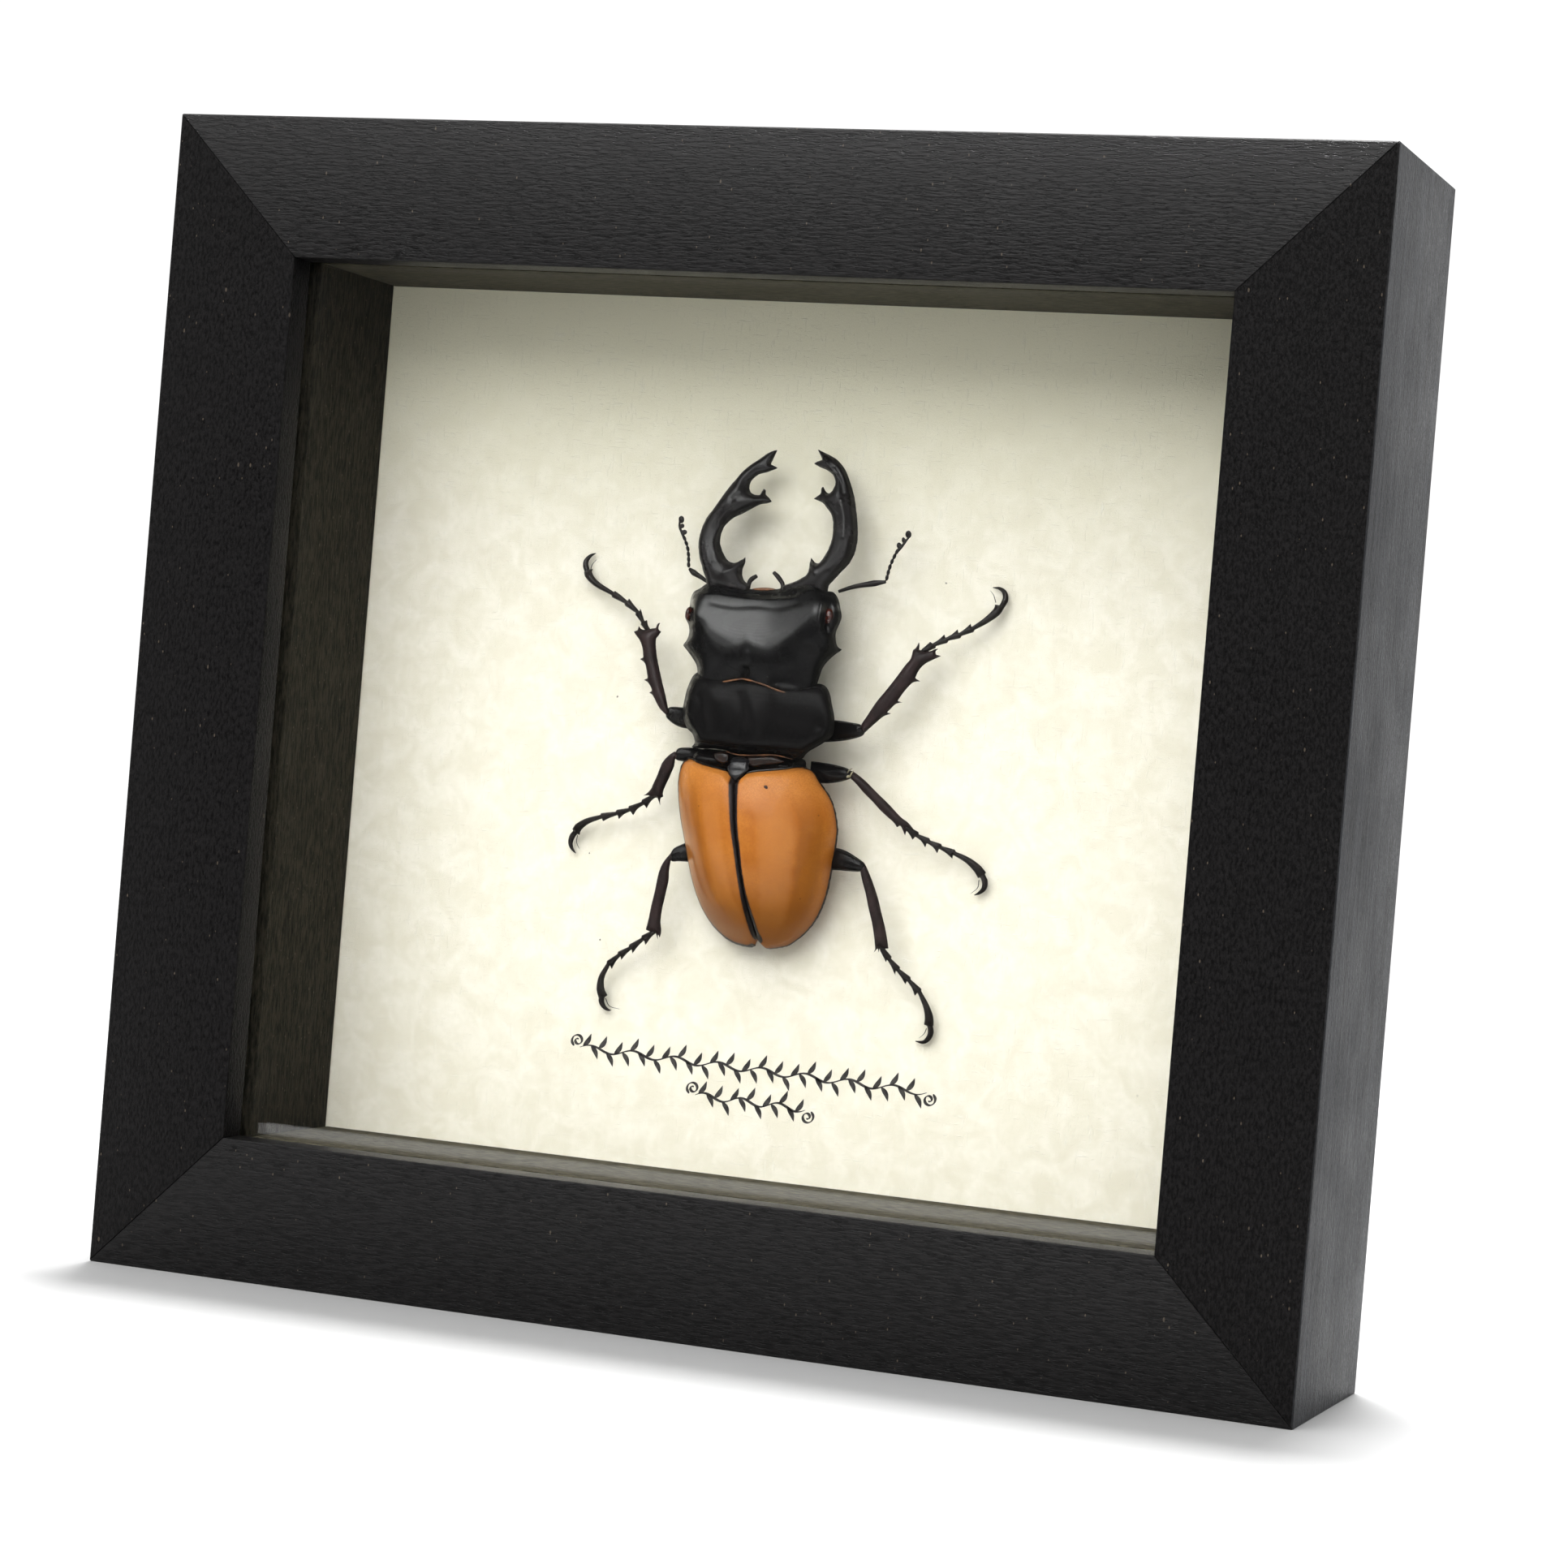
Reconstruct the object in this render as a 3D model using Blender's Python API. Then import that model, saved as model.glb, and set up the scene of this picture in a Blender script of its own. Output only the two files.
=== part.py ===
"""A stag beetle specimen in a black wooden shadow-box frame, in metres, with +Z up.

The frame stands on its lower rail and looks towards -Y. The origin is the middle of its footprint.
Depths are counted from the frame's front face. The beetle's own points are in millimetres:
x across from the frame's centre, z up from its foot, and h out from the paper towards the glass.
"""

import math

import bmesh
import bpy
from mathutils import Matrix, Vector

MM = 0.001
GAP = 0.0003  # clearance between pieces that touch
SMOOTH_ANGLE = math.radians(35)  # edges sharper than this stay hard

# Frame, from the outside in
FRAME_WIDTH = 0.1764
FRAME_HEIGHT = 0.165
FRAME_DEPTH = 0.038
RAIL_FACE = 0.020
LIP_DEPTH = 0.005
RABBET_WIDTH = 0.006
EDGE_ROUND = 0.0005

# What lies in the rabbet, as depths from the front face
GLASS_THICKNESS = 0.002
LINER_FRONT = 0.0099
LINER_RECESS = 0.0004  # how far the liner stands back from the lip's edge
PAPER_FRONT = 0.0335
PAPER_THICKNESS = 0.0004
BOARD_THICKNESS = 0.0025

# Fixings on the back
POINT_LENGTH = 0.011
POINT_WIDTH = 0.007
POINT_THICKNESS = 0.0005
POINT_SPREAD = 0.27  # where the points sit, as a share of the rail's length either side of its middle
HANGER_LENGTH = 0.046
HANGER_HEIGHT = 0.009
HANGER_THICKNESS = 0.001
HANGER_TEETH = 11
HANGER_TOOTH = 0.0022
NAIL_HEAD_RADIUS = 0.0017
NAIL_HEAD_THICKNESS = 0.0005
NAIL_HEAD_SIDES = 16
NAIL_INSET = 0.004

HANGER_STANDOFF = GAP + HANGER_THICKNESS + GAP + NAIL_HEAD_THICKNESS
FRONT = -(FRAME_DEPTH + HANGER_STANDOFF) / 2
OPENING_WIDTH = FRAME_WIDTH - 2 * RAIL_FACE
OPENING_HEIGHT = FRAME_HEIGHT - 2 * RAIL_FACE
RABBET_HALF_WIDTH = OPENING_WIDTH / 2 + RABBET_WIDTH
RABBET_LOW = RAIL_FACE - RABBET_WIDTH
RABBET_HIGH = FRAME_HEIGHT - RABBET_LOW
BOARD_FRONT = PAPER_FRONT + PAPER_THICKNESS + GAP

# Beetle
RING_SIDES = 16
TUBE_RESOLUTION = 2
JAW_STEPS = 3  # steps to a span of a smooth route
LIMB_STEPS = 4
JAW_BASE_THICKNESS = 3.2
JAW_TIP_THICKNESS = 1.4
JAW_EDGE = 0.3
JAW_BASE_Z = 104.4
JAW_BASE_H = 6.6
JAW_TIP_Z = 124.2
JAW_TIP_H = 4.3
SUTURE_TOP = (-3.0, 77.0)  # (x, z) of the line between the wing cases
SUTURE_TIP = (-0.5, 53.0)
SCUTELLUM_WIDTH = 4.6
SCUTELLUM_TIP_Z = 76.3
SCUTELLUM_BASE_Z = 78.9
SCUTELLUM_CLEARANCE = 0.45
SCUTELLUM_LOW = 9.2
SCUTELLUM_HIGH = 10.6
NOTCH_LOW = 8.4
NOTCH_HIGH = 14.0

# Body sections as (z, middle x, half width, height of the widest level, top, bottom)
HEAD = (
    (90.3, -3.1, 8.9, 6.5, 10.2, 3.2),
    (92.0, -3.1, 9.4, 6.5, 10.6, 2.6),
    (94.3, -3.1, 10.6, 6.5, 10.6, 2.4),
    (95.4, -3.1, 11.9, 6.5, 10.4, 2.4),
    (96.6, -3.1, 11.2, 6.5, 10.2, 2.4),
    (98.6, -3.1, 11.4, 6.5, 9.8, 2.6),
    (100.4, -3.1, 11.9, 6.5, 9.4, 2.8),
    (102.0, -3.1, 11.4, 6.5, 9.0, 3.2),
    (103.4, -3.1, 10.4, 6.5, 8.6, 3.8),
    (104.0, -3.1, 9.0, 6.5, 8.2, 4.2),
)
PRONOTUM = (
    (80.3, -2.6, 8.5, 6.5, 9.2, 3.2),
    (81.4, -2.6, 9.2, 6.5, 10.4, 2.8),
    (82.8, -2.6, 10.0, 6.5, 11.0, 2.6),
    (84.4, -2.6, 11.1, 6.5, 11.3, 2.4),
    (86.4, -2.6, 11.5, 6.5, 11.3, 2.4),
    (88.6, -2.6, 11.3, 6.5, 11.0, 2.6),
    (90.0, -2.6, 10.7, 6.5, 10.6, 3.0),
)
HIND_BODY = (
    (79.9, -2.6, 7.6, 4.5, 8.4, 2.0),
    (79.1, -2.6, 8.2, 4.5, 8.4, 1.0),
    (78.95, -2.6, 8.4, 3.4, 5.1, 0.8),
    (74.0, -2.2, 8.7, 3.0, 4.6, 0.4),
    (68.0, -1.5, 8.6, 2.4, 3.6, 0.3),
    (62.0, -0.9, 8.0, 2.2, 3.2, 0.3),
    (58.0, -0.6, 6.2, 2.0, 2.8, 0.5),
    (55.2, -0.5, 3.4, 1.8, 2.3, 1.1),
)
ELYTRA = (
    (78.6, -3.2, 9.4, 6.6, 9.6, 5.7),
    (77.2, -2.7, 11.0, 6.3, 11.2, 5.5),
    (75.0, -2.2, 11.6, 6.0, 12.2, 5.2),
    (72.0, -1.7, 11.8, 5.4, 12.8, 4.7),
    (68.6, -1.4, 11.7, 4.9, 13.0, 4.2),
    (65.2, -1.1, 11.1, 4.5, 12.8, 3.9),
    (62.0, -0.8, 10.3, 4.2, 12.0, 3.7),
    (59.0, -0.5, 9.1, 3.9, 10.5, 3.4),
    (56.6, -0.4, 7.8, 3.6, 8.4, 3.1),
    (54.6, -0.4, 5.8, 3.3, 6.2, 2.8),
    (53.2, -0.4, 3.2, 3.1, 4.4, 2.7),
)

# Jaw outlines as smooth stretches of (x, z) between sharp points: outer edge, fork, bay, middle tooth,
# inner edge, basal tooth
LEFT_JAW = (
    ((-12.0, 104.4), (-14.0, 109.5), (-13.2, 113.5), (-9.1, 119.7), (-3.8, 123.8)),
    ((-3.8, 123.8), (-4.6, 122.3), (-3.7, 121.3)),
    ((-3.7, 121.3), (-6.2, 120.1), (-7.4, 118.4), (-6.5, 117.4), (-5.5, 118.1)),
    ((-5.5, 118.1), (-5.4, 117.1), (-4.5, 116.4)),
    ((-4.5, 116.4), (-7.5, 114.9), (-10.3, 112.6), (-10.6, 109.0), (-8.9, 107.4), (-7.0, 108.3)),
    ((-7.0, 108.3), (-6.9, 106.2), (-6.0, 104.4)),
)
RIGHT_JAW = (
    ((6.3, 104.4), (9.3, 109.0), (9.8, 112.5), (8.7, 117.4), (5.5, 122.7), (2.2, 124.2)),
    ((2.2, 124.2), (3.0, 123.0), (1.6, 122.2)),
    ((1.6, 122.2), (3.8, 121.4), (5.4, 119.6), (4.6, 118.1), (3.2, 119.0)),
    ((3.2, 119.0), (3.2, 117.9), (1.9, 117.1)),
    ((1.9, 117.1), (4.6, 115.9), (6.0, 113.0), (5.6, 109.6), (4.4, 108.1), (3.0, 108.8)),
    ((3.0, 108.8), (3.1, 106.7), (0.2, 104.4)),
)

# Antennae and palps as (x, z, h) routes
ANTENNAE = {
    "left": (
        (-12.9, 104.6, 6.0),
        (-15.4, 105.9, 5.5),
        (-15.5, 107.5, 5.2),
        (-16.4, 109.8, 4.6),
        (-18.0, 113.4, 3.6),
    ),
    "right": (
        (7.3, 104.5, 6.0),
        (10.6, 105.3, 6.0),
        (14.6, 106.0, 5.5),
        (14.9, 109.0, 4.8),
        (16.7, 112.9, 3.6),
    ),
}
SCAPE_RADIUS = 0.32
SCAPE_END = 0.4  # as a share of the antenna's length
FUNICLE_RADIUS = 0.24
CLUB_RADIUS = 0.45
CLUB_START = 0.75
CLUB_FULL = 0.917  # where the club has reached its full radius
PALPS = {
    "left": ((-6.0, 104.5, 4.4), (-6.1, 105.2, 4.3), (-5.5, 105.8, 4.1)),
    "right": ((-1.0, 104.6, 4.4), (-1.6, 105.6, 4.3), (-3.0, 106.2, 4.1)),
}
PALP_RADIUS = 0.28

# Legs as (x, z, h) points: hip, knee and ankle, the foot's route to its last joint, and the claw's hook
LEGS = {
    "front_left": {
        "hip": (-11.2, 84.4, 2.2),
        "knee": (-17.0, 85.0, 6.5),
        "ankle": (-21.4, 96.5, 5.0),
        "foot": ((-21.6, 97.2, 5.0), (-23.5, 99.4, 4.2), (-28.1, 101.8, 2.7), (-32.8, 104.9, 1.5)),
        "claw": ((-33.5, 105.9, 1.5), (-33.2, 106.9, 1.2), (-32.4, 107.5, 0.7)),
    },
    "front_right": {
        "hip": (5.6, 84.5, 2.6),
        "knee": (13.2, 85.0, 6.5),
        "ankle": (20.4, 96.2, 5.0),
        "foot": ((20.9, 96.8, 5.0), (22.1, 97.7, 4.2), (26.9, 100.4, 2.2), (30.1, 103.9, 1.5)),
        "claw": ((30.8, 105.0, 1.5), (30.2, 106.1, 1.2), (28.8, 106.4, 0.7)),
    },
    "middle_left": {
        "hip": (-11.6, 79.0, 2.9),
        "knee": (-15.2, 79.1, 6.0),
        "ankle": (-18.6, 73.2, 4.4),
        "foot": ((-18.7, 72.9, 4.4), (-21.0, 71.4, 3.4), (-27.2, 69.2, 2.0), (-31.5, 66.7, 1.5)),
        "claw": ((-32.3, 65.7, 1.5), (-32.4, 64.5, 1.1), (-31.9, 63.7, 0.7)),
    },
    "middle_right": {
        "hip": (6.4, 78.4, 2.9),
        "knee": (11.8, 78.6, 6.0),
        "ankle": (19.9, 72.0, 4.2),
        "foot": ((20.4, 71.5, 4.2), (23.0, 70.0, 3.0), (28.5, 68.0, 1.8), (30.9, 66.0, 1.5)),
        "claw": ((31.4, 64.8, 1.5), (30.9, 63.7, 1.1), (29.9, 63.1, 0.7)),
    },
    "hind_left": {
        "hip": (-10.1, 65.7, 1.6),
        "knee": (-15.0, 64.7, 5.0),
        "ankle": (-17.0, 54.0, 4.0),
        "foot": ((-17.0, 53.5, 4.0), (-20.8, 50.8, 2.9), (-24.4, 48.0, 2.1), (-25.1, 43.3, 1.5)),
        "claw": ((-25.0, 42.3, 1.4), (-24.2, 41.6, 1.1), (-22.6, 41.7, 0.7)),
    },
    "hind_right": {
        "hip": (7.6, 66.9, 1.6),
        "knee": (14.2, 65.8, 5.0),
        "ankle": (17.9, 54.8, 4.0),
        "foot": ((18.0, 54.4, 4.0), (20.2, 51.6, 2.9), (23.4, 48.6, 2.1), (24.9, 44.2, 1.5)),
        "claw": ((25.2, 43.0, 1.4), (24.4, 41.9, 1.1), (22.6, 41.8, 0.7)),
    },
}
FEMUR_SHARES = (0.0, 0.333, 0.667, 1.0)  # where the radii are, from hip to knee
FEMUR_RADII = (0.6, 0.85, 0.9, 0.75, 0.4)
KNEE_REACH = 0.4  # how far the thigh runs on past the knee's centre
TIBIA_OFFSET = 1.0  # how far the shin starts from the knee's centre
TIBIA_SHARES = (0.0, 0.06, 0.4, 0.75, 1.0)  # from there to the ankle
TIBIA_RADII = (0.4, 0.7, 0.8, 0.85, 1.05)
TARSOMERES = 5
TARSOMERE_THIN = 0.2
TARSOMERE_THICK = 0.4
CLAW_RADII = (0.25, 0.2, 0.1)


def clear_scene():
    for obj in list(bpy.data.objects):
        bpy.data.objects.remove(obj, do_unlink=True)


def make_collection(name):
    found = bpy.data.collections.new(name)
    bpy.context.scene.collection.children.link(found)
    return found


def make_material(name, color, roughness, metallic=0.0, alpha=1.0):
    material = bpy.data.materials.new(name)
    material.use_nodes = True
    shader = material.node_tree.nodes["Principled BSDF"]
    shader.inputs["Base Color"].default_value = (*color, 1.0)
    shader.inputs["Roughness"].default_value = roughness
    shader.inputs["Metallic"].default_value = metallic
    shader.inputs["Alpha"].default_value = alpha
    return material


def add_object(name, data, material, collection):
    obj = bpy.data.objects.new(name, data)
    obj.data.materials.append(material)
    collection.objects.link(obj)
    return obj


def mesh_object(name, bm, material, collection):
    bmesh.ops.recalc_face_normals(bm, faces=bm.faces)
    mesh = bpy.data.meshes.new(name)
    bm.to_mesh(mesh)
    bm.free()
    mesh.shade_smooth()
    mesh.set_sharp_from_angle(angle=SMOOTH_ANGLE)
    return add_object(name, mesh, material, collection)


def draw_out(bm, face, shift):
    """Extrudes a face by a vector and gives back the vertices that moved."""
    drawn = bmesh.ops.extrude_face_region(bm, geom=[face])["geom"]
    moved = {item for item in drawn if isinstance(item, bmesh.types.BMVert)}
    bmesh.ops.translate(bm, vec=shift, verts=list(moved))
    return moved


def cut_away(bm, point, normal):
    """Cuts off what lies beyond a plane, closes the cut and gives back its faces."""
    geometry = bm.verts[:] + bm.edges[:] + bm.faces[:]
    cut = bmesh.ops.bisect_plane(
        bm, geom=geometry, plane_co=point, plane_no=normal, clear_outer=True
    )
    rim = [item for item in cut["geom_cut"] if isinstance(item, bmesh.types.BMEdge)]
    return bmesh.ops.holes_fill(bm, edges=rim)["faces"]


def block(name, low, high, material, collection):
    """A box between two corners."""
    low, high = Vector(low), Vector(high)
    bm = bmesh.new()
    bmesh.ops.create_cube(bm, size=1.0)
    bmesh.ops.scale(bm, vec=high - low, verts=bm.verts)
    bmesh.ops.translate(bm, vec=(low + high) / 2, verts=bm.verts)
    return mesh_object(name, bm, material, collection)


def at_depth(depth):
    """World y of a depth counted from the frame's front face."""
    return FRONT + depth


def on_paper(x, z, h):
    """World point of a beetle point: millimetres across, up, and out from the paper."""
    return Vector((x * MM, at_depth(PAPER_FRONT) - h * MM, z * MM))


def smooth_route(points, steps):
    """Catmull-Rom curve through the points, with that many steps to a span."""
    knots = [Vector(p) for p in points]
    before = 2 * knots[0] - knots[1]
    after = 2 * knots[-1] - knots[-2]
    padded = [before, *knots, after]
    route = []
    for i in range(1, len(padded) - 2):
        a, b, c, d = padded[i - 1 : i + 3]
        for step in range(steps):
            t = step / steps
            bend = 2 * a - 5 * b + 4 * c - d
            twist = 3 * b - a - 3 * c + d
            route.append((2 * b + (c - a) * t + bend * t**2 + twist * t**3) / 2)
    route.append(knots[-1])
    return route


def tube(name, route, radii, material, collection):
    """A round rod along world points, with a radius in millimetres at each."""
    curve = bpy.data.curves.new(name, "CURVE")
    curve.dimensions = "3D"
    curve.bevel_depth = MM
    curve.bevel_resolution = TUBE_RESOLUTION
    curve.use_fill_caps = True
    spline = curve.splines.new("POLY")
    spline.points.add(len(route) - 1)
    for point, position, radius in zip(spline.points, route, radii):
        point.co = (*position, 1.0)
        point.radius = radius
    return add_object(name, curve, material, collection)


def spread(values, count):
    """The values read at that many even steps along them."""
    found = []
    for i in range(count):
        place = i * (len(values) - 1) / (count - 1)
        low = min(int(place), len(values) - 2)
        share = place - low
        found.append(values[low] * (1 - share) + values[low + 1] * share)
    return found


# ---- frame ----


def rail(name, length, angle, middle, material, collection):
    """One moulding: an L profile drawn out along X, its long edges rounded, mitred at both ends.

    It is made as the lower rail, with its outer edge at z = 0, and then turned about the frame's centre.
    """
    wall = RAIL_FACE - RABBET_WIDTH
    profile = (
        (0, 0),
        (0, RAIL_FACE),
        (LIP_DEPTH, RAIL_FACE),
        (LIP_DEPTH, wall),
        (FRAME_DEPTH, wall),
        (FRAME_DEPTH, 0),
    )
    bm = bmesh.new()
    corners = [bm.verts.new((-length / 2, at_depth(depth), z)) for depth, z in profile]
    draw_out(bm, bm.faces.new(corners), (length, 0, 0))
    inner_corner = Vector((at_depth(LIP_DEPTH), wall))
    long_edges = [
        edge
        for edge in bm.edges
        if abs(edge.verts[0].co.x - edge.verts[1].co.x) > length / 2
        and (edge.verts[0].co.yz - inner_corner).length > EDGE_ROUND
    ]
    bmesh.ops.bevel(
        bm, geom=long_edges, offset=EDGE_ROUND, segments=2, affect="EDGES", profile=0.5, material=-1
    )
    for side in (-1, 1):
        corner = Vector((side * (length / 2 - GAP / 2), 0, 0))
        cut_away(bm, corner, Vector((side, 0, 1)).normalized())
    bmesh.ops.translate(bm, vec=(0, 0, -middle), verts=bm.verts)
    bmesh.ops.transform(bm, matrix=Matrix.Rotation(angle, 4, "Y"), verts=bm.verts)
    bmesh.ops.translate(bm, vec=(0, 0, FRAME_HEIGHT / 2), verts=bm.verts)
    return mesh_object(name, bm, material, collection)


def make_rails(material, collection):
    half_width, half_height = FRAME_WIDTH / 2, FRAME_HEIGHT / 2
    rail("rail_bottom", FRAME_WIDTH, 0, half_height, material, collection)
    rail("rail_left", FRAME_HEIGHT, math.pi / 2, half_width, material, collection)
    rail("rail_top", FRAME_WIDTH, math.pi, half_height, material, collection)
    rail("rail_right", FRAME_HEIGHT, -math.pi / 2, half_width, material, collection)


def rabbet_sheet(name, front, thickness, material, collection):
    """A panel that fills the rabbet, with clearance all round."""
    low = (-RABBET_HALF_WIDTH + GAP, at_depth(front), RABBET_LOW + GAP)
    high = (RABBET_HALF_WIDTH - GAP, at_depth(front + thickness), RABBET_HIGH - GAP)
    return block(name, low, high, material, collection)


def make_liner(material, collection):
    """Four strips that hold the glass off the paper: tall ones at the sides, short ones between them."""
    front, back = at_depth(LINER_FRONT), at_depth(PAPER_FRONT - GAP)
    inner_x = OPENING_WIDTH / 2 + LINER_RECESS
    outer_x = RABBET_HALF_WIDTH - GAP
    low, high = RABBET_LOW + GAP, RABBET_HIGH - GAP
    inner_low, inner_high = RAIL_FACE - LINER_RECESS, FRAME_HEIGHT - RAIL_FACE + LINER_RECESS
    short_x = inner_x - GAP
    strips = {
        "liner_left": ((-outer_x, front, low), (-inner_x, back, high)),
        "liner_right": ((inner_x, front, low), (outer_x, back, high)),
        "liner_bottom": ((-short_x, front, low), (short_x, back, inner_low)),
        "liner_top": ((-short_x, front, inner_high), (short_x, back, high)),
    }
    for name, (corner, opposite) in strips.items():
        block(name, corner, opposite, material, collection)


def make_points(material, collection):
    """Flat steel points over the backing board, two to a side."""
    depth = BOARD_FRONT + BOARD_THICKNESS + GAP
    y_low, y_high = at_depth(depth), at_depth(depth + POINT_THICKNESS)
    half = POINT_WIDTH / 2
    reach = RABBET_HALF_WIDTH - GAP
    for sign, end in ((-1, "a"), (1, "b")):
        x = sign * POINT_SPREAD * FRAME_WIDTH
        z = FRAME_HEIGHT / 2 + sign * POINT_SPREAD * FRAME_HEIGHT
        for edge, side in ((RABBET_LOW + GAP, "bottom"), (RABBET_HIGH - GAP - POINT_LENGTH, "top")):
            low, high = (x - half, y_low, edge), (x + half, y_high, edge + POINT_LENGTH)
            block(f"retaining_point_{side}_{end}", low, high, material, collection)
        for edge, side in ((-reach, "left"), (reach - POINT_LENGTH, "right")):
            low, high = (edge, y_low, z - half), (edge + POINT_LENGTH, y_high, z + half)
            block(f"retaining_point_{side}_{end}", low, high, material, collection)


def make_hanger(material, collection):
    """A sawtooth plate behind the top rail, with a nail at each end."""
    front = at_depth(FRAME_DEPTH + GAP)
    high = FRAME_HEIGHT - (RAIL_FACE - RABBET_WIDTH - HANGER_HEIGHT) / 2
    low = high - HANGER_HEIGHT
    ears = HANGER_LENGTH / 2
    run = ears - 2 * NAIL_INSET
    outline = [(-ears, low), (-ears, high), (ears, high), (ears, low), (run, low)]
    for tooth in range(HANGER_TEETH):
        right = run - tooth * 2 * run / HANGER_TEETH
        left = run - (tooth + 1) * 2 * run / HANGER_TEETH
        outline += [((left + right) / 2, low + HANGER_TOOTH), (left, low)]
    bm = bmesh.new()
    plate = bm.faces.new([bm.verts.new((x, front, z)) for x, z in outline])
    draw_out(bm, plate, (0, HANGER_THICKNESS, 0))
    mesh_object("sawtooth_hanger", bm, material, collection)
    head_y = front + HANGER_THICKNESS + GAP + NAIL_HEAD_THICKNESS / 2
    for sign, side in ((-1, "left"), (1, "right")):
        place = Matrix.Translation((sign * (ears - NAIL_INSET), head_y, (low + high) / 2))
        bm = bmesh.new()
        bmesh.ops.create_cone(
            bm,
            cap_ends=True,
            segments=NAIL_HEAD_SIDES,
            radius1=NAIL_HEAD_RADIUS,
            radius2=NAIL_HEAD_RADIUS,
            depth=NAIL_HEAD_THICKNESS,
            matrix=place @ Matrix.Rotation(math.pi / 2, 4, "X"),
        )
        mesh_object(f"hanger_nail_{side}", bm, material, collection)


# ---- beetle ----


def add_ring(bm, station):
    """One cross-section: an oval whose upper and lower halves have their own heights."""
    z, middle, half_width, widest, top, bottom = station
    made = bmesh.ops.create_circle(bm, segments=RING_SIDES, radius=1.0)["verts"]
    for vert in made:
        across, rise = vert.co.x, vert.co.y
        reach = top - widest if rise > 0 else widest - bottom
        vert.co = on_paper(middle + half_width * across, z, widest + reach * rise)
    return made


def ring_edges(ring):
    """The edges that join a ring's own vertices."""
    return list({edge for vert in ring for edge in vert.link_edges if edge.other_vert(vert) in ring})


def loft_mesh(stations):
    """A closed body drawn through cross-sections one after another."""
    bm = bmesh.new()
    rings = [add_ring(bm, station) for station in stations]
    for ring, following in zip(rings, rings[1:]):
        bmesh.ops.bridge_loops(bm, edges=ring_edges(ring) + ring_edges(following))
    bmesh.ops.holes_fill(bm, edges=[edge for edge in bm.edges if edge.is_boundary])
    bmesh.ops.triangulate(bm, faces=[face for face in bm.faces if len(face.verts) > 4])
    return bm


def loft(name, stations, material, collection):
    return mesh_object(name, loft_mesh(stations), material, collection)


def suture_plane(shift):
    """A point on the line between the wing cases, moved sideways, and the line's sideways direction."""
    top, tip = Vector(SUTURE_TOP), Vector(SUTURE_TIP)
    along = (top - tip).normalized()
    across = Vector((along.y, -along.x))
    start = top + across * shift
    return on_paper(start.x, start.y, 0), Vector((across.x, 0, across.y))


def scutellum_prism(name, grow, low, high, material, collection):
    """The small triangular plate at the wing cases' root, or a cutter that is larger all round."""
    centre = SUTURE_TOP[0]
    half = SCUTELLUM_WIDTH / 2 + grow
    tip = SCUTELLUM_TIP_Z - 2 * grow
    base = SCUTELLUM_BASE_Z + grow
    bm = bmesh.new()
    corners = ((centre - half, base), (centre + half, base), (centre, tip))
    face = bm.faces.new([bm.verts.new(on_paper(x, z, low)) for x, z in corners])
    draw_out(bm, face, (0, (low - high) * MM, 0))
    return mesh_object(name, bm, material, collection)


def make_elytra(material, collection, cutters):
    """Two domed wing cases: one shell outline split along the suture, notched for the scutellum."""
    notch = scutellum_prism(
        "scutellum_notch", SCUTELLUM_CLEARANCE, NOTCH_LOW, NOTCH_HIGH, material, cutters
    )
    notch.hide_render = True
    notch.display_type = "WIRE"
    for side, name in ((-1, "elytron_left"), (1, "elytron_right")):
        bm = loft_mesh(ELYTRA)
        point, across = suture_plane(side * GAP / MM / 2)
        bmesh.ops.triangulate(bm, faces=cut_away(bm, point, -side * across))
        shell = mesh_object(name, bm, material, collection)
        bite = shell.modifiers.new("notch", "BOOLEAN")
        bite.operation = "DIFFERENCE"
        bite.solver = "EXACT"
        bite.object = notch


def make_jaw(name, stretches, material, collection):
    """A mandible: its outline drawn out into a plate that thins and dips towards the paper at the tip."""
    outline = []
    for stretch in stretches:
        outline += smooth_route([(x, z, 0) for x, z in stretch], JAW_STEPS)[:-1]
    outline.append(Vector((*stretches[-1][-1], 0)))
    bm = bmesh.new()
    plate = bm.faces.new([bm.verts.new((point.x * MM, 0, point.y * MM)) for point in outline])
    near = draw_out(bm, plate, (0, -MM, 0))
    edges = [edge for edge in bm.edges if (edge.verts[0] in near) == (edge.verts[1] in near)]
    for vert in bm.verts:
        share = (vert.co.z / MM - JAW_BASE_Z) / (JAW_TIP_Z - JAW_BASE_Z)
        middle = JAW_BASE_H + (JAW_TIP_H - JAW_BASE_H) * share
        half = (JAW_BASE_THICKNESS + (JAW_TIP_THICKNESS - JAW_BASE_THICKNESS) * share) / 2
        height = middle + half if vert in near else middle - half
        vert.co.y = at_depth(PAPER_FRONT) - height * MM
    bmesh.ops.bevel(
        bm,
        geom=edges,
        offset=JAW_EDGE * MM,
        segments=1,
        affect="EDGES",
        profile=0.5,
        clamp_overlap=True,
        material=-1,
    )
    bmesh.ops.triangulate(bm, faces=bm.faces, ngon_method="EAR_CLIP")
    return mesh_object(name, bm, material, collection)


def make_antenna(name, points, material, collection):
    """A straight scape, a bent funicle and a club, as one rod that swells at the end."""
    route = smooth_route([on_paper(*point) for point in points], LIMB_STEPS)
    radii = []
    for i in range(len(route)):
        share = i / (len(route) - 1)
        thin = SCAPE_RADIUS if share < SCAPE_END else FUNICLE_RADIUS
        club = min(1.0, max(0.0, (share - CLUB_START) / (CLUB_FULL - CLUB_START)))
        radii.append(thin + (CLUB_RADIUS - thin) * club)
    return tube(name, route, radii, material, collection)


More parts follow.
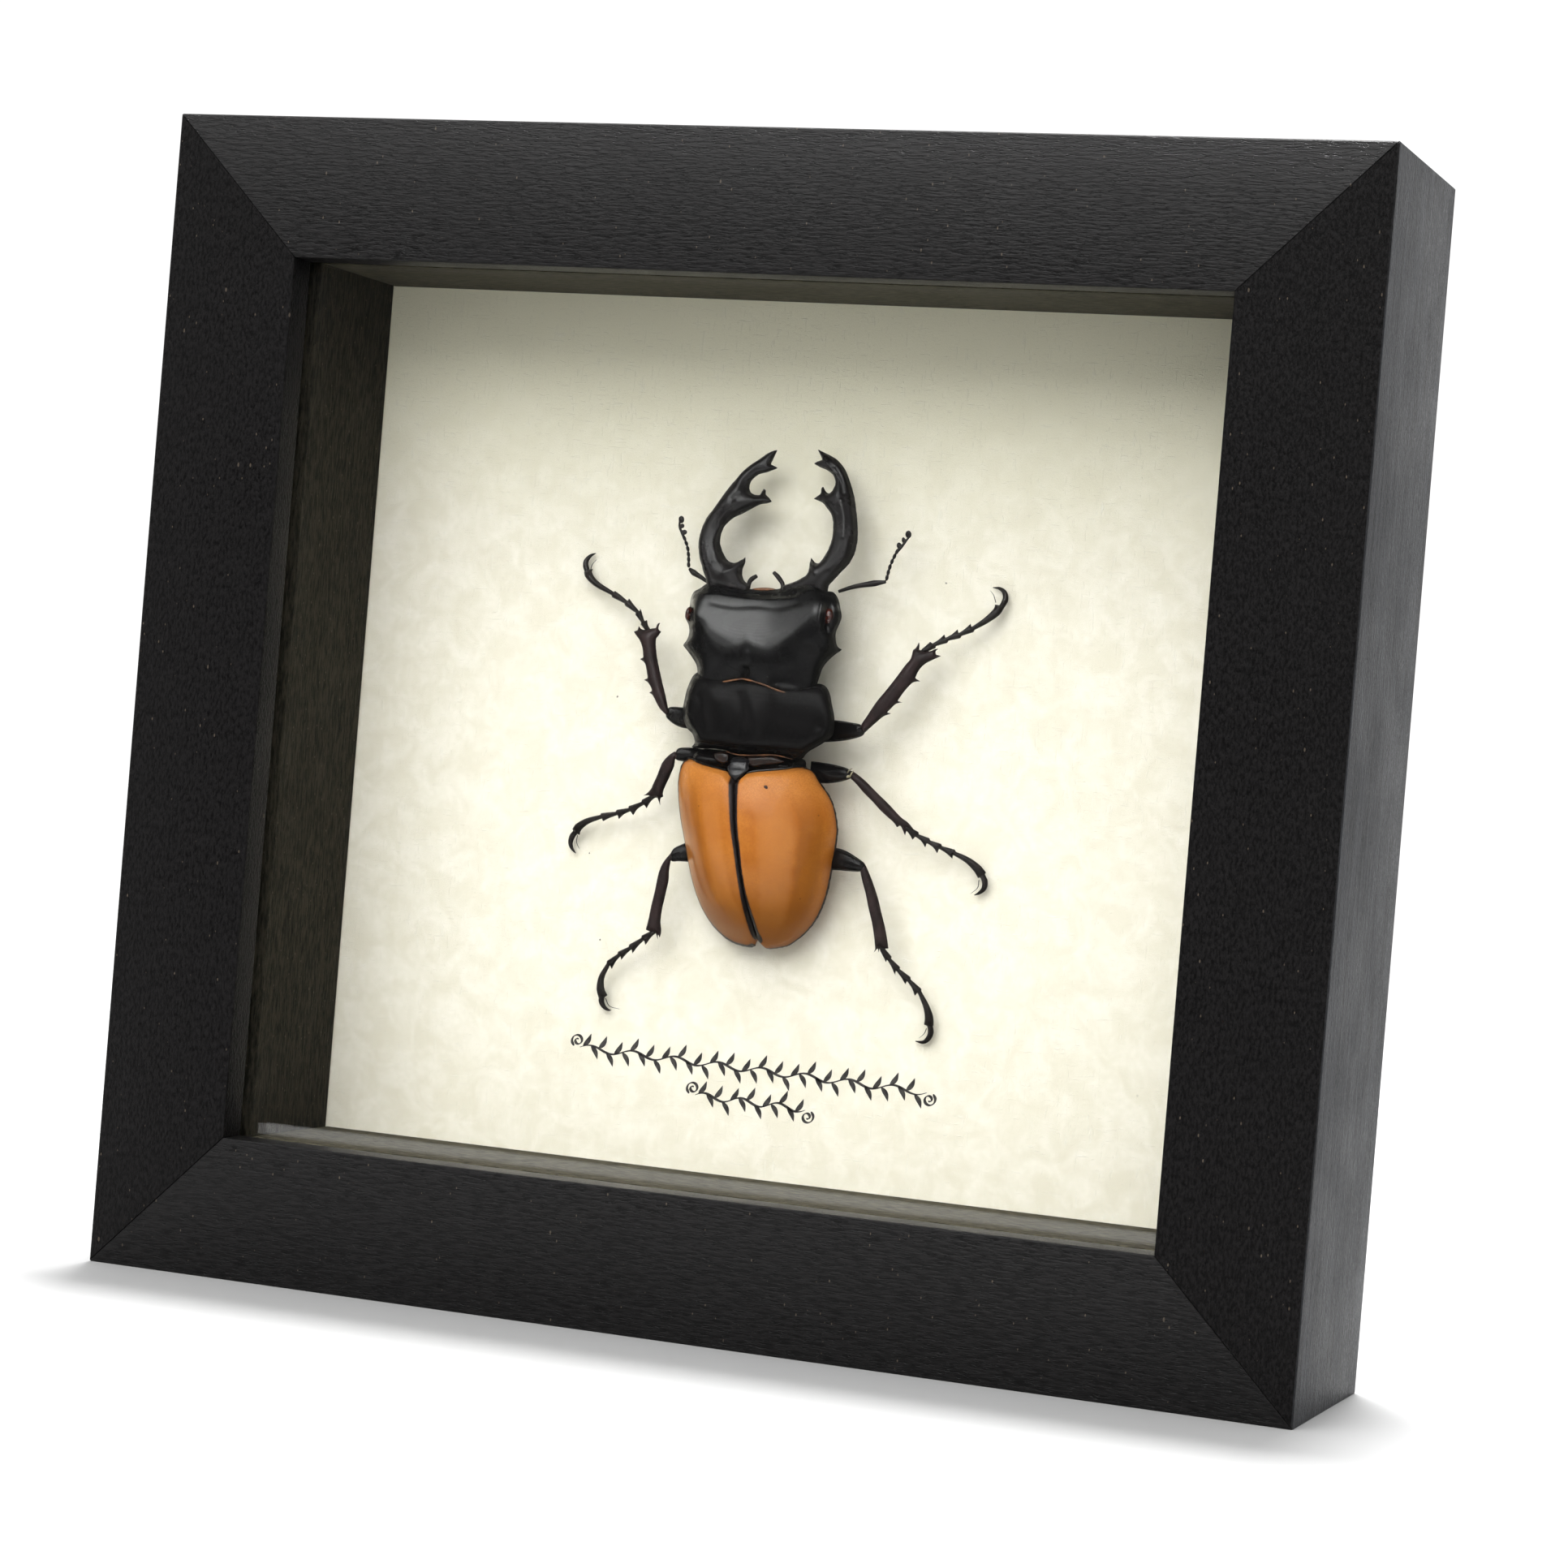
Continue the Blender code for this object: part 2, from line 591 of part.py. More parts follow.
def make_leg(name, leg, material, collection):
    """Thigh, shin and jointed foot, each a rod of its own with clearance at the joints."""
    hip, knee, ankle = (on_paper(*leg[key]) for key in ("hip", "knee", "ankle"))
    shin = (ankle - knee).normalized()
    thigh = (knee - hip).normalized()
    femur = [hip.lerp(knee, share) for share in FEMUR_SHARES] + [knee + thigh * KNEE_REACH * MM]
    tube(f"leg_{name}_femur", femur, FEMUR_RADII, material, collection)
    start = knee + shin * TIBIA_OFFSET * MM
    tibia = [start.lerp(ankle, share) for share in TIBIA_SHARES]
    tube(f"leg_{name}_tibia", tibia, TIBIA_RADII, material, collection)
    foot = smooth_route([on_paper(*point) for point in leg["foot"]], LIMB_STEPS)
    foot[0] = ankle + (foot[1] - ankle).normalized() * 2 * GAP
    joints = spread(foot, 2 * TARSOMERES)
    radii = [TARSOMERE_THIN, TARSOMERE_THICK] * TARSOMERES
    claw = [on_paper(*point) for point in leg["claw"]]
    tube(f"leg_{name}_tarsus", joints + claw, radii + list(CLAW_RADII), material, collection)


def main():
    clear_scene()
    parts = make_collection("framed stag beetle")
    cutters = make_collection("cutters")

    stained_wood = make_material("stained_wood", (0.02, 0.02, 0.022), 0.55)
    liner_wood = make_material("liner_wood", (0.03, 0.028, 0.022), 0.7)
    glass = make_material("glass", (0.9, 0.95, 0.93), 0.02, alpha=0.15)
    paper = make_material("paper", (0.93, 0.91, 0.80), 0.9)
    hardboard = make_material("hardboard", (0.16, 0.09, 0.05), 0.8)
    steel = make_material("steel", (0.55, 0.54, 0.5), 0.35, metallic=1.0)
    chitin = make_material("black_chitin", (0.012, 0.012, 0.014), 0.32)
    wing_case = make_material("orange_wing_case", (0.58, 0.21, 0.03), 0.22)

    make_rails(stained_wood, parts)
    rabbet_sheet("glass_pane", LIP_DEPTH + GAP, GLASS_THICKNESS, glass, parts)
    make_liner(liner_wood, parts)
    rabbet_sheet("backing_paper", PAPER_FRONT, PAPER_THICKNESS, paper, parts)
    rabbet_sheet("backing_board", BOARD_FRONT, BOARD_THICKNESS, hardboard, parts)
    make_points(steel, parts)
    make_hanger(steel, parts)

    loft("beetle_head", HEAD, chitin, parts)
    loft("beetle_pronotum", PRONOTUM, chitin, parts)
    loft("beetle_hind_body", HIND_BODY, chitin, parts)
    make_elytra(wing_case, parts, cutters)
    scutellum_prism("scutellum", 0.0, SCUTELLUM_LOW, SCUTELLUM_HIGH, chitin, parts)
    make_jaw("mandible_left", LEFT_JAW, chitin, parts)
    make_jaw("mandible_right", RIGHT_JAW, chitin, parts)
    for side, points in ANTENNAE.items():
        make_antenna(f"antenna_{side}", points, chitin, parts)
    for side, points in PALPS.items():
        route = [on_paper(*point) for point in points]
        tube(f"palp_{side}", route, [PALP_RADIUS] * len(route), chitin, parts)
    for name, leg in LEGS.items():
        make_leg(name, leg, chitin, parts)


main()
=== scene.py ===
# %% [markdown]
# # A stag beetle in a shadow-box frame
#
# A dried stag beetle with orange wing cases lies on cream paper, deep inside a black wooden frame
# and behind a pane of glass. The lesson builds the frame first, then the paper, then the beetle
# from head to claws. Everything is measured from a fixed model of the same object, which is
# loaded here: it says where each piece is, and each new piece takes the place of one of its
# nodes.

# %% Load the fixed model
import math

import bmesh
import bpy
import numpy as np
from mathutils import Matrix, Vector
from mathutils.geometry import delaunay_2d_cdt


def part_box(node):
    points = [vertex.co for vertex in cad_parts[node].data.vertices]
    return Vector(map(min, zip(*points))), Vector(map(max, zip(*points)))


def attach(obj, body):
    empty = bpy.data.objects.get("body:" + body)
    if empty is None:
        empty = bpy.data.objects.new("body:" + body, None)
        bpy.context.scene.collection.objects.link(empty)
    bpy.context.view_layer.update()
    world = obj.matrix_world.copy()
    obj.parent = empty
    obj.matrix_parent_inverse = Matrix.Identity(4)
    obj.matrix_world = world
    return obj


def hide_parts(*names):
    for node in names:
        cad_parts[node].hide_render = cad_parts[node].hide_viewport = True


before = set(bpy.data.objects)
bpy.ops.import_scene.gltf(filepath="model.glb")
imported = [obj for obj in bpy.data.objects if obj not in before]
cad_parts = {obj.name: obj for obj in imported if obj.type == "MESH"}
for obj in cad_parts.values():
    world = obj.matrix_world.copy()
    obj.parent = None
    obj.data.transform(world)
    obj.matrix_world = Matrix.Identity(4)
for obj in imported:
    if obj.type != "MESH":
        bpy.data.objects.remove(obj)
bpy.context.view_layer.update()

print("fixed model:", len(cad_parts), "nodes")

# %% [markdown]
# Blender measures in metres, but a beetle is easier to draw in millimetres. So each part of the
# specimen is drawn flat, as if on the paper: x to the right, z up the sheet, and h for the height
# above the paper. One matrix then stands that drawing up in the frame. It turns the drawing
# without mirroring it, so faces keep pointing outwards.

# %% Places that everything is measured from
MM = 0.001
FRONT_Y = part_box("rail_bottom")[0].y
BACK_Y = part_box("rail_bottom")[1].y
PAPER_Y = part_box("backing_paper")[0].y
FRAME_LOW, FRAME_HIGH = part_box("rail_left")[0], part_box("rail_right")[1]
SPECIMEN = Matrix(((MM, 0, 0, 0), (0, 0, -MM, PAPER_Y), (0, MM, 0, 0), (0, 0, 0, 1)))
print("paper lies", round((PAPER_Y - FRONT_Y) / MM, 2), "mm behind the frame's face")

# %% [markdown]
# ## Camera, light and floor
#
# The camera stands to the right of the frame, level with its middle, and looks back at it. A
# camera's matrix has its right, up and backward directions as columns, so three angles give it.

# %% Camera
CAMERA_PLACE = Vector((0.19518, FRONT_Y - 0.49078, 0.08136))
CAMERA_YAW, CAMERA_PITCH, CAMERA_ROLL = -0.3573, -0.0089, -0.0822
PHOTO_SIZE = 1932
FOCAL_LENGTH_IN_PIXELS = 4805.8
SENSOR = 36
NEAREST_SEEN = 0.01


def add_object(name, data):
    """A new object that holds data, linked into the scene."""
    made = bpy.data.objects.new(name, data)
    bpy.context.scene.collection.objects.link(made)
    return made


forward = Vector((math.sin(CAMERA_YAW), math.cos(CAMERA_YAW), math.tan(CAMERA_PITCH))).normalized()
level = Vector((math.cos(CAMERA_YAW), -math.sin(CAMERA_YAW), 0))
down = forward.cross(level)
right = level * math.cos(CAMERA_ROLL) + down * math.sin(CAMERA_ROLL)
down = down * math.cos(CAMERA_ROLL) - level * math.sin(CAMERA_ROLL)

camera = add_object("camera", bpy.data.cameras.new("camera"))
aim = Matrix((right, -down, -forward)).transposed().to_4x4()
camera.matrix_world = Matrix.Translation(CAMERA_PLACE) @ aim
camera.data.sensor_width = SENSOR
camera.data.lens = FOCAL_LENGTH_IN_PIXELS * SENSOR / PHOTO_SIZE
camera.data.clip_start = NEAREST_SEEN
bpy.context.scene.camera = camera
bpy.context.scene.view_settings.view_transform = "Standard"
print("lens", round(camera.data.lens, 2), "mm")

# %% [markdown]
# World and finishes are node trees. These helpers add one node each and give its output, so that
# a tree reads like a sum: what goes in stands in the brackets.

# %% Node helpers
def add_node(tree, kind, inputs=None, **settings):
    """Adds a node. inputs maps a socket's name or number to a value or to another node's output."""
    made = tree.nodes.new(kind)
    for key, value in settings.items():
        setattr(made, key, value)
    for key, value in (inputs or {}).items():
        if isinstance(value, bpy.types.NodeSocket):
            tree.links.new(value, made.inputs[key])
        else:
            made.inputs[key].default_value = value
    return made


def feed(node, socket, value):
    """Leads another node's output into a socket of this one."""
    node.id_data.links.new(value, node.inputs[socket])


def math_node(tree, operation, first, second, clamp=False):
    """The output of a Math node."""
    inputs = {0: first, 1: second}
    return add_node(tree, "ShaderNodeMath", inputs, operation=operation, use_clamp=clamp).outputs[0]


def times(tree, first, second):
    """The product of two values."""
    return math_node(tree, "MULTIPLY", first, second)


def remap(tree, value, low, high, to_low=0.0, to_high=1.0):
    """Maps low..high smoothly to to_low..to_high, and clamps outside."""
    inputs = {"Value": value, "From Min": low, "From Max": high,
              "To Min": to_low, "To Max": to_high}
    made = add_node(tree, "ShaderNodeMapRange", inputs, interpolation_type="SMOOTHSTEP")
    return made.outputs["Result"]


def mix_colour(tree, factor, first, second):
    """The colour between two, as far as factor says. The node's inputs 6 and 7 are colours."""
    first, second = [(*tone, 1) if isinstance(tone, (tuple, list)) else tone
                     for tone in (first, second)]
    inputs = {0: factor, 6: first, 7: second}
    return add_node(tree, "ShaderNodeMix", inputs, data_type="RGBA").outputs[2]


def part_of(tree, vector, axis):
    """The X, Y or Z of a vector."""
    return add_node(tree, "ShaderNodeSeparateXYZ", {0: vector}).outputs[axis]


def new_finish(name, sockets):
    """A material with a Principled shader. Gives the material, its tree and the shader."""
    finish = bpy.data.materials.new(name)
    finish.use_nodes = True
    shader = finish.node_tree.nodes["Principled BSDF"]
    for socket, value in sockets.items():
        shader.inputs[socket].default_value = value
    return finish, finish.node_tree, shader


# %% [markdown]
# Black, glossy things show mostly what they reflect. The studio is white all round except in
# front, where the pane and the rails would mirror it: there the room behind the camera is dark. A
# wide soft lamp hangs high in front and a little to the left, and leaves the top of the paper in
# the upper rail's shade. A small strong one far above and behind the frame makes the floor white,
# and leaves a short shadow at the frame's foot.

# %% Studio
WHITE_ROOM, DARK_ROOM = 1.1, 0.03
DARK_DIRECTION = Vector((-0.34, -0.94, 0))
DARK_INSIDE, WHITE_OUTSIDE = math.cos(math.radians(18)), math.cos(math.radians(38))
LAMP_POWER, LAMP_WIDTH, LAMP_LENGTH, LAMP_DISTANCE = 15.2, 1.1, 1.15, 1.2
LAMP_ELEVATION, LAMP_SIDE = math.radians(41), math.radians(-8)
BACK_LAMP_POWER, BACK_LAMP_SIZE, BACK_LAMP_PLACE = 225.0, 0.4, Vector((-0.1, 0.45, 3.0))
FLOOR_HALF_SIZE, FLOOR_MIDDLE, FLOOR_TONE = (1.3, 0.6, 1), (0, 0.4, 0), 0.34

world = bpy.data.worlds.new("studio")
world.use_nodes = True
bpy.context.scene.world = world
tree = world.node_tree
look = add_node(tree, "ShaderNodeTexCoord").outputs["Generated"]
to_dark = add_node(tree, "ShaderNodeVectorMath", {0: look, 1: DARK_DIRECTION},
                   operation="DOT_PRODUCT")
glow = remap(tree, to_dark.outputs["Value"], WHITE_OUTSIDE, DARK_INSIDE, WHITE_ROOM, DARK_ROOM)
seen_directly = add_node(tree, "ShaderNodeLightPath").outputs["Is Camera Ray"]
feed(tree.nodes["Background"], "Strength", math_node(tree, "MAXIMUM", glow, seen_directly))
tree.nodes["Background"].inputs["Color"].default_value = (1, 1, 1, 1)


def add_lamp(name, width, length, power, place, target):
    """A soft rectangular lamp that looks at the target and that the camera doesn't see."""
    lamp = add_object(name, bpy.data.lights.new(name, "AREA"))
    lamp.data.shape = "RECTANGLE"
    lamp.data.size = width
    lamp.data.size_y = length
    lamp.data.energy = power
    lamp.visible_camera = False
    lamp.location = place
    lamp.rotation_euler = (place - target).to_track_quat("Z", "Y").to_euler()


to_lamp = Vector((math.sin(LAMP_SIDE), -math.cos(LAMP_SIDE), math.tan(LAMP_ELEVATION))).normalized()
paper_middle = Vector((0, PAPER_Y, FRAME_HIGH.z / 2))
lamp_place = paper_middle + to_lamp * LAMP_DISTANCE
add_lamp("front_lamp", LAMP_WIDTH, LAMP_LENGTH, LAMP_POWER, lamp_place, paper_middle)
add_lamp("back_lamp", BACK_LAMP_SIZE, BACK_LAMP_SIZE, BACK_LAMP_POWER, BACK_LAMP_PLACE, Vector())

bm = bmesh.new()
bmesh.ops.create_grid(bm, x_segments=1, y_segments=1, size=1)
bmesh.ops.scale(bm, vec=FLOOR_HALF_SIZE, verts=bm.verts[:])
bmesh.ops.translate(bm, vec=FLOOR_MIDDLE, verts=bm.verts[:])
floor = add_object("floor", bpy.data.meshes.new("floor"))
bm.to_mesh(floor.data)
bm.free()
floor_paint = {"Base Color": (FLOOR_TONE, FLOOR_TONE, FLOOR_TONE, 1), "Roughness": 0.9}
floor.data.materials.append(new_finish("pale_floor", floor_paint)[0])

# %% [markdown]
# ## Finishes
#
# Each finish starts from one Principled shader. Plain numbers go straight on its sockets; what
# changes over the surface comes from noise read at Object coordinates, or from a measure stored
# on the piece.

# %% What finishes are made of
def place_in_mm(tree, stretch=(1, 1, 1)):
    """Object coordinates in millimetres, drawn out along an axis where stretch is below 1."""
    source = add_node(tree, "ShaderNodeTexCoord").outputs["Object"]
    scale = [factor / MM for factor in stretch]
    return add_node(tree, "ShaderNodeMapping", {"Vector": source, "Scale": scale}).outputs[0]


def noise(tree, vector, scale, detail=2.0, roughness=0.5, distortion=0.0):
    """The value of a Noise Texture."""
    inputs = {"Vector": vector, "Scale": scale, "Detail": detail, "Roughness": roughness,
              "Distortion": distortion}
    return add_node(tree, "ShaderNodeTexNoise", inputs).outputs[0]


def measured(tree, label):
    """A measure that a piece stores for each of its vertices."""
    return add_node(tree, "ShaderNodeAttribute", attribute_name=label).outputs["Fac"]


def bump(tree, height, distance_mm):
    """The normal of a surface that rises by distance_mm where height goes from 0 to 1."""
    inputs = {"Height": height, "Distance": distance_mm * MM}
    return add_node(tree, "ShaderNodeBump", inputs).outputs[0]


# %% [markdown]
# What several finishes share is made once. Wood grain, stray dust and the skin of a beetle are
# node groups; a finish that only wanders between two tones in soft patches comes from one
# function.

# %% Shared effects
def new_effect(name, inputs, outputs):
    """A shader node group. Gives the group and its input and output nodes."""
    effect = bpy.data.node_groups.new(name, "ShaderNodeTree")
    for label, kind, value in inputs:
        kind = "NodeSocket" + kind
        socket = effect.interface.new_socket(label, in_out="INPUT", socket_type=kind)
        if value is not None:
            socket.default_value = value
    for label in outputs:
        effect.interface.new_socket(label, in_out="OUTPUT", socket_type="NodeSocketFloat")
    return effect, effect.nodes.new("NodeGroupInput"), effect.nodes.new("NodeGroupOutput")


def use_effect(tree, effect, inputs):
    """Places a shared effect in a finish and gives its outputs."""
    return add_node(tree, "ShaderNodeGroup", inputs, node_tree=effect).outputs


GRAIN, source, result = new_effect("wood_grain", [("Vector", "Vector", None)], ["Streaks", "Pores"])
feed(result, "Streaks", remap(GRAIN, noise(GRAIN, source.outputs[0], 2.6, 3.0, 0.6), 0.32, 0.68))
feed(result, "Pores", remap(GRAIN, noise(GRAIN, source.outputs[0], 6.0, 1.0, 0.4), 0.60, 0.70))

inputs = [("Vector", "Vector", None), ("Spacing", "Float", 2.0), ("Size", "Float", 0.1)]
DUST, source, result = new_effect("stray_dust", inputs, ["Mask"])
place, spacing, size = source.outputs[:3]
inputs = {"Vector": place, "Scale": math_node(DUST, "DIVIDE", 1.0, spacing)}
speck = add_node(DUST, "ShaderNodeTexVoronoi", inputs).outputs
chance = add_node(DUST, "ShaderNodeSeparateColor", {0: speck["Color"]}).outputs[0]
own_size = times(DUST, math_node(DUST, "DIVIDE", size, spacing), times(DUST, chance, chance))
feed(result, "Mask", math_node(DUST, "LESS_THAN", speck["Distance"], own_size))

SKIN, source, result = new_effect("beetle_skin", [("Vector", "Vector", None)], ["Clouds", "Pits"])
feed(result, "Clouds", remap(SKIN, noise(SKIN, source.outputs[0], 0.45, 3.0, 0.6), 0.3, 0.7))
feed(result, "Pits", noise(SKIN, source.outputs[0], 5.5, 2.0, 0.6))


def sprinkle(tree, colour, place, spacing, size, strength, tone):
    """Sets specks of one tone on a colour."""
    dust = use_effect(tree, DUST, {"Vector": place, "Spacing": spacing, "Size": size})
    return mix_colour(tree, times(tree, dust["Mask"], strength), colour, tone)


def two_tone(name, sockets, scale, detail, low, dark, pale):
    """A finish that wanders from dark to pale where its noise goes from low to 1 - low."""
    finish, tree, shader = new_finish(name, sockets)
    patches = remap(tree, noise(tree, place_in_mm(tree), scale, detail), low, 1 - low)
    feed(shader, "Base Color", mix_colour(tree, patches, dark, pale))
    return finish


print("effects:", [effect.name for effect in bpy.data.node_groups])

# %% [markdown]
# The frame is stained black over a close-grained wood: short fine marks run along each rail, with
# a satin sheen. A rail that lies has its grain along x and one that stands has it along z, so the
# same recipe is made twice, with its noise drawn out along the one axis or the other. The outer
# side on the right has a painted reflection of the white room: its colour is greyed in streaks.

# %% Black stain
ALONG_X, ALONG_Z, SHORT_Z = (0.16, 1, 1), (1, 1, 0.16), (1, 1, 0.45)
SIDE_STARTS_AT, SIDE_STREAKS = 80.0, (1, 1, 0.05)
PORE_BLACK = (0.002, 0.002, 0.002)
RAIL_DUST = ((3.1, 0.24, 0.35), (1.3, 0.15, 0.45))
DUST_STRETCH, DUST_TONE = (1.5, 1, 0.7), (0.15, 0.12, 0.09)
# The side tone is painted reflection: the grey of the white room, painted on the right outer side.
RAIL_TONE, SIDE_PAINTED_SHEEN = (0.0058, 0.0054, 0.0055), (0.046, 0.048, 0.053)
LINER_TONE = (0.024, 0.0215, 0.0150)


def scaled(tone, factor):
    """A tone made paler or darker."""
    return [factor * c for c in tone]


def make_stain(name, grain_axis, tone, roughness, specular, grain_depth, painted_sheen_tone=None):
    """Black stain with its grain along one axis. A right-side tone is a painted grey reflection."""
    finish, tree, shader = new_finish(name, {"Specular IOR Level": specular})
    streaks, pores = use_effect(tree, GRAIN, {"Vector": place_in_mm(tree, grain_axis)})[:2]
    place = place_in_mm(tree)
    colour = mix_colour(tree, streaks, scaled(tone, 0.45), scaled(tone, 1.6))
    colour = mix_colour(tree, times(tree, pores, 0.7), colour, PORE_BLACK)
    # Painted reflection: grey streaks on the right outer side stand for the white room that it
    # mirrors.
    if painted_sheen_tone:
        normal = add_node(tree, "ShaderNodeNewGeometry").outputs["Normal"]
        outward = remap(tree, part_of(tree, normal, "X"), 0.5, 0.9)
        at_side = math_node(tree, "GREATER_THAN", part_of(tree, place, "X"), SIDE_STARTS_AT)
        side_noise = noise(tree, place_in_mm(tree, SIDE_STREAKS), 1.3, 4.0, 0.6)
        painted_sheen = times(tree, times(tree, outward, at_side), remap(tree, side_noise, 0.2, 0.8))
        colour = mix_colour(tree, painted_sheen, colour, painted_sheen_tone)
    for dust in RAIL_DUST:
        colour = sprinkle(tree, colour, place_in_mm(tree, DUST_STRETCH), *dust, DUST_TONE)
    feed(shader, "Base Color", colour)
    clouds = noise(tree, place, 0.05, 3.0, 0.6)
    satin = remap(tree, clouds, 0.3, 0.7, roughness - 0.05, roughness + 0.06)
    feed(shader, "Roughness", math_node(tree, "ADD", satin, times(tree, streaks, 0.08)))
    depth = math_node(tree, "SUBTRACT", streaks, times(tree, pores, 1.2))
    feed(shader, "Normal", bump(tree, depth, grain_depth))
    return finish


RAIL_STAIN = {
    "lying": make_stain("black_stain_lying", ALONG_X, RAIL_TONE, 0.34, 0.18, 0.04),
    "standing": make_stain("black_stain_standing_painted_sheen", SHORT_Z, RAIL_TONE, 0.34, 0.06, 0.05, SIDE_PAINTED_SHEEN),
}
# Painted light and shade: the liner strips share one stain, but the bottom strip takes 3.5 times
# its tone, the top 2.4 times and the sides 1.1 times, as lit and shaded copies.
LINER_STAINS_PAINTED_LIGHT = {
    "bottom": make_stain("liner_stain_bottom_painted_light", ALONG_X, scaled(LINER_TONE, 3.5), 0.80, 0.08, 0.05),
    "top": make_stain("liner_stain_top_painted_light", ALONG_X, scaled(LINER_TONE, 2.4), 0.70, 0.25, 0.05),
    "left": make_stain("liner_stain_side_painted_shade", ALONG_Z, scaled(LINER_TONE, 1.1), 0.75, 0.06, 0.05),
}
LINER_STAINS_PAINTED_LIGHT["right"] = LINER_STAINS_PAINTED_LIGHT["left"]

# %% [markdown]
# Clear glass is one shader with full transmission. Its shadow would be far too dark, because the
# lamp's light doesn't find its way through a refracting pane, so rays that only test for shadow
# see a clear, barely tinted surface instead.

# %% Glass
GLASS, tree, shader = new_finish("clear_glass", {
    "Base Color": (0.985, 0.99, 0.985, 1), "Roughness": 0.0, "IOR": 1.5,
    "Transmission Weight": 1.0})
clear = add_node(tree, "ShaderNodeBsdfTransparent", {"Color": (0.96, 0.965, 0.955, 1)}).outputs[0]
shadow_ray = add_node(tree, "ShaderNodeLightPath").outputs["Is Shadow Ray"]
either = add_node(tree, "ShaderNodeMixShader", {0: shadow_ray, 1: shader.outputs[0], 2: clear})
feed(tree.nodes["Material Output"], "Surface", either.outputs[0])

# %% [markdown]
# Parchment paper is cream and faintly cloudy, with pale fibres and a few darker flecks. Towards
# its top it is painted paler and warmer: painted light that lifts the upper rail's shade. Large
# soft noise makes the clouds, and a noise that is drawn out makes the fibres.

# %% Parchment and ink
PARCHMENT, tree, shader = new_finish("parchment", {"Roughness": 0.85, "Specular IOR Level": 0.1})
place = place_in_mm(tree)
clouds = remap(tree, noise(tree, place, 0.22, 5.0, 0.62, 0.6), 0.33, 0.67)
patches = remap(tree, noise(tree, place, 0.9, 3.0, 0.6), 0.35, 0.65)
fibres = [noise(tree, place_in_mm(tree, along), 1.7, 2.0, 0.5, 1.2)
          for along in ((0.25, 1, 1.9), (1.9, 1, 0.25))]
fibres = remap(tree, math_node(tree, "MAXIMUM", *fibres), 0.62, 0.76)
# Painted light: paler, warmer paper towards the top, where the upper rail casts its shade.
painted_light_at_top = remap(tree, part_of(tree, place, "Z"), 105, 140, 0, 0.9)
colour = mix_colour(tree, clouds, (0.835, 0.79, 0.655), (0.94, 0.898, 0.785))
colour = mix_colour(tree, times(tree, patches, 0.35), colour, (0.83, 0.80, 0.66))
colour = mix_colour(tree, painted_light_at_top, colour, (0.98, 0.945, 0.73))
colour = mix_colour(tree, times(tree, fibres, 0.35), colour, (0.97, 0.96, 0.88))
feed(shader, "Base Color", sprinkle(tree, colour, place, 7.0, 0.16, 0.45, (0.30, 0.27, 0.21)))
tooth = math_node(tree, "ADD", noise(tree, place, 4.0, 3.0, 0.6), fibres)
feed(shader, "Normal", bump(tree, tooth, 0.03))

INK = two_tone("pen_ink", {"Roughness": 0.6, "Specular IOR Level": 0.3}, scale=1.6, detail=2.0,
               low=0.35, dark=(0.022, 0.019, 0.018), pale=(0.055, 0.05, 0.047))

# %% [markdown]
# Beetle skin is black and polished like lacquer, but no part of it shines alike. The same recipe
# takes two tones, a roughness and the depth of its pits for each part: glossy on head and thighs,
# satin and purple-brown on the shins. Walls that fall away to the paper are duller, so that they
# stay black. The head's shield gets a clear coat from the measure "satin", and stray dust lies on
# everything.

# %% Black skin
def make_skin(name, dark, pale, roughness, specular, pit_depth, coat, dust):
    sockets = {"Coat Roughness": 0.30, "Specular IOR Level": specular}
    finish, tree, shader = new_finish(name, sockets)
    place = place_in_mm(tree)
    skin = use_effect(tree, SKIN, {"Vector": place})
    colour = mix_colour(tree, skin["Clouds"], dark, pale)
    feed(shader, "Base Color", sprinkle(tree, colour, place, 1.6, 0.16, dust, (0.30, 0.30, 0.28)))
    normal = add_node(tree, "ShaderNodeNewGeometry").outputs["Normal"]
    walls = remap(tree, part_of(tree, normal, "Y"), -0.55, -0.25, 0, 0.5)
    gloss = remap(tree, skin["Clouds"], 0, 1, roughness + 0.05, roughness - 0.05)
    feed(shader, "Roughness", math_node(tree, "ADD", gloss, walls))
    satin = times(tree, measured(tree, "satin"), 0.9)
    feed(shader, "Coat Weight", math_node(tree, "ADD", satin, coat, clamp=True))
    feed(shader, "Normal", bump(tree, skin["Pits"], pit_depth))
    return finish


SKIN_RECIPES = (
    ("head_skin", (0.004, 0.0038, 0.0039), (0.008, 0.0078, 0.0082), 0.26, 0.10, 0.008, 0.0, 0.10),
    ("thorax_skin", (0.004, 0.0037, 0.0037), (0.008, 0.0075, 0.0077), 0.24, 0.06, 0.008, 0.0, 0.05),
    ("jaw_skin", (0.005, 0.0043, 0.0045), (0.012, 0.0102, 0.0108), 0.32, 0.30, 0.012, 0.1, 0.10),
    ("thigh_skin", (0.003, 0.0028, 0.0028), (0.006, 0.005, 0.005), 0.22, 0.18, 0.008, 0.0, 0.15),
    ("shin_skin", (0.010, 0.0055, 0.0055), (0.026, 0.0150, 0.0148), 0.42, 0.20, 0.018, 0.0, 0.05),
    ("foot_skin", (0.006, 0.0045, 0.0042), (0.016, 0.012, 0.011), 0.36, 0.25, 0.012, 0.0, 0.08),
    ("shield_skin", (0.006, 0.006, 0.007), (0.016, 0.016, 0.018), 0.18, 0.35, 0.008, 0.2, 0.5),
)
(HEAD_SKIN, THORAX_SKIN, JAW_SKIN, THIGH_SKIN, SHIN_SKIN, FOOT_SKIN,
 SHIELD_SKIN) = [make_skin(*recipe) for recipe in SKIN_RECIPES]
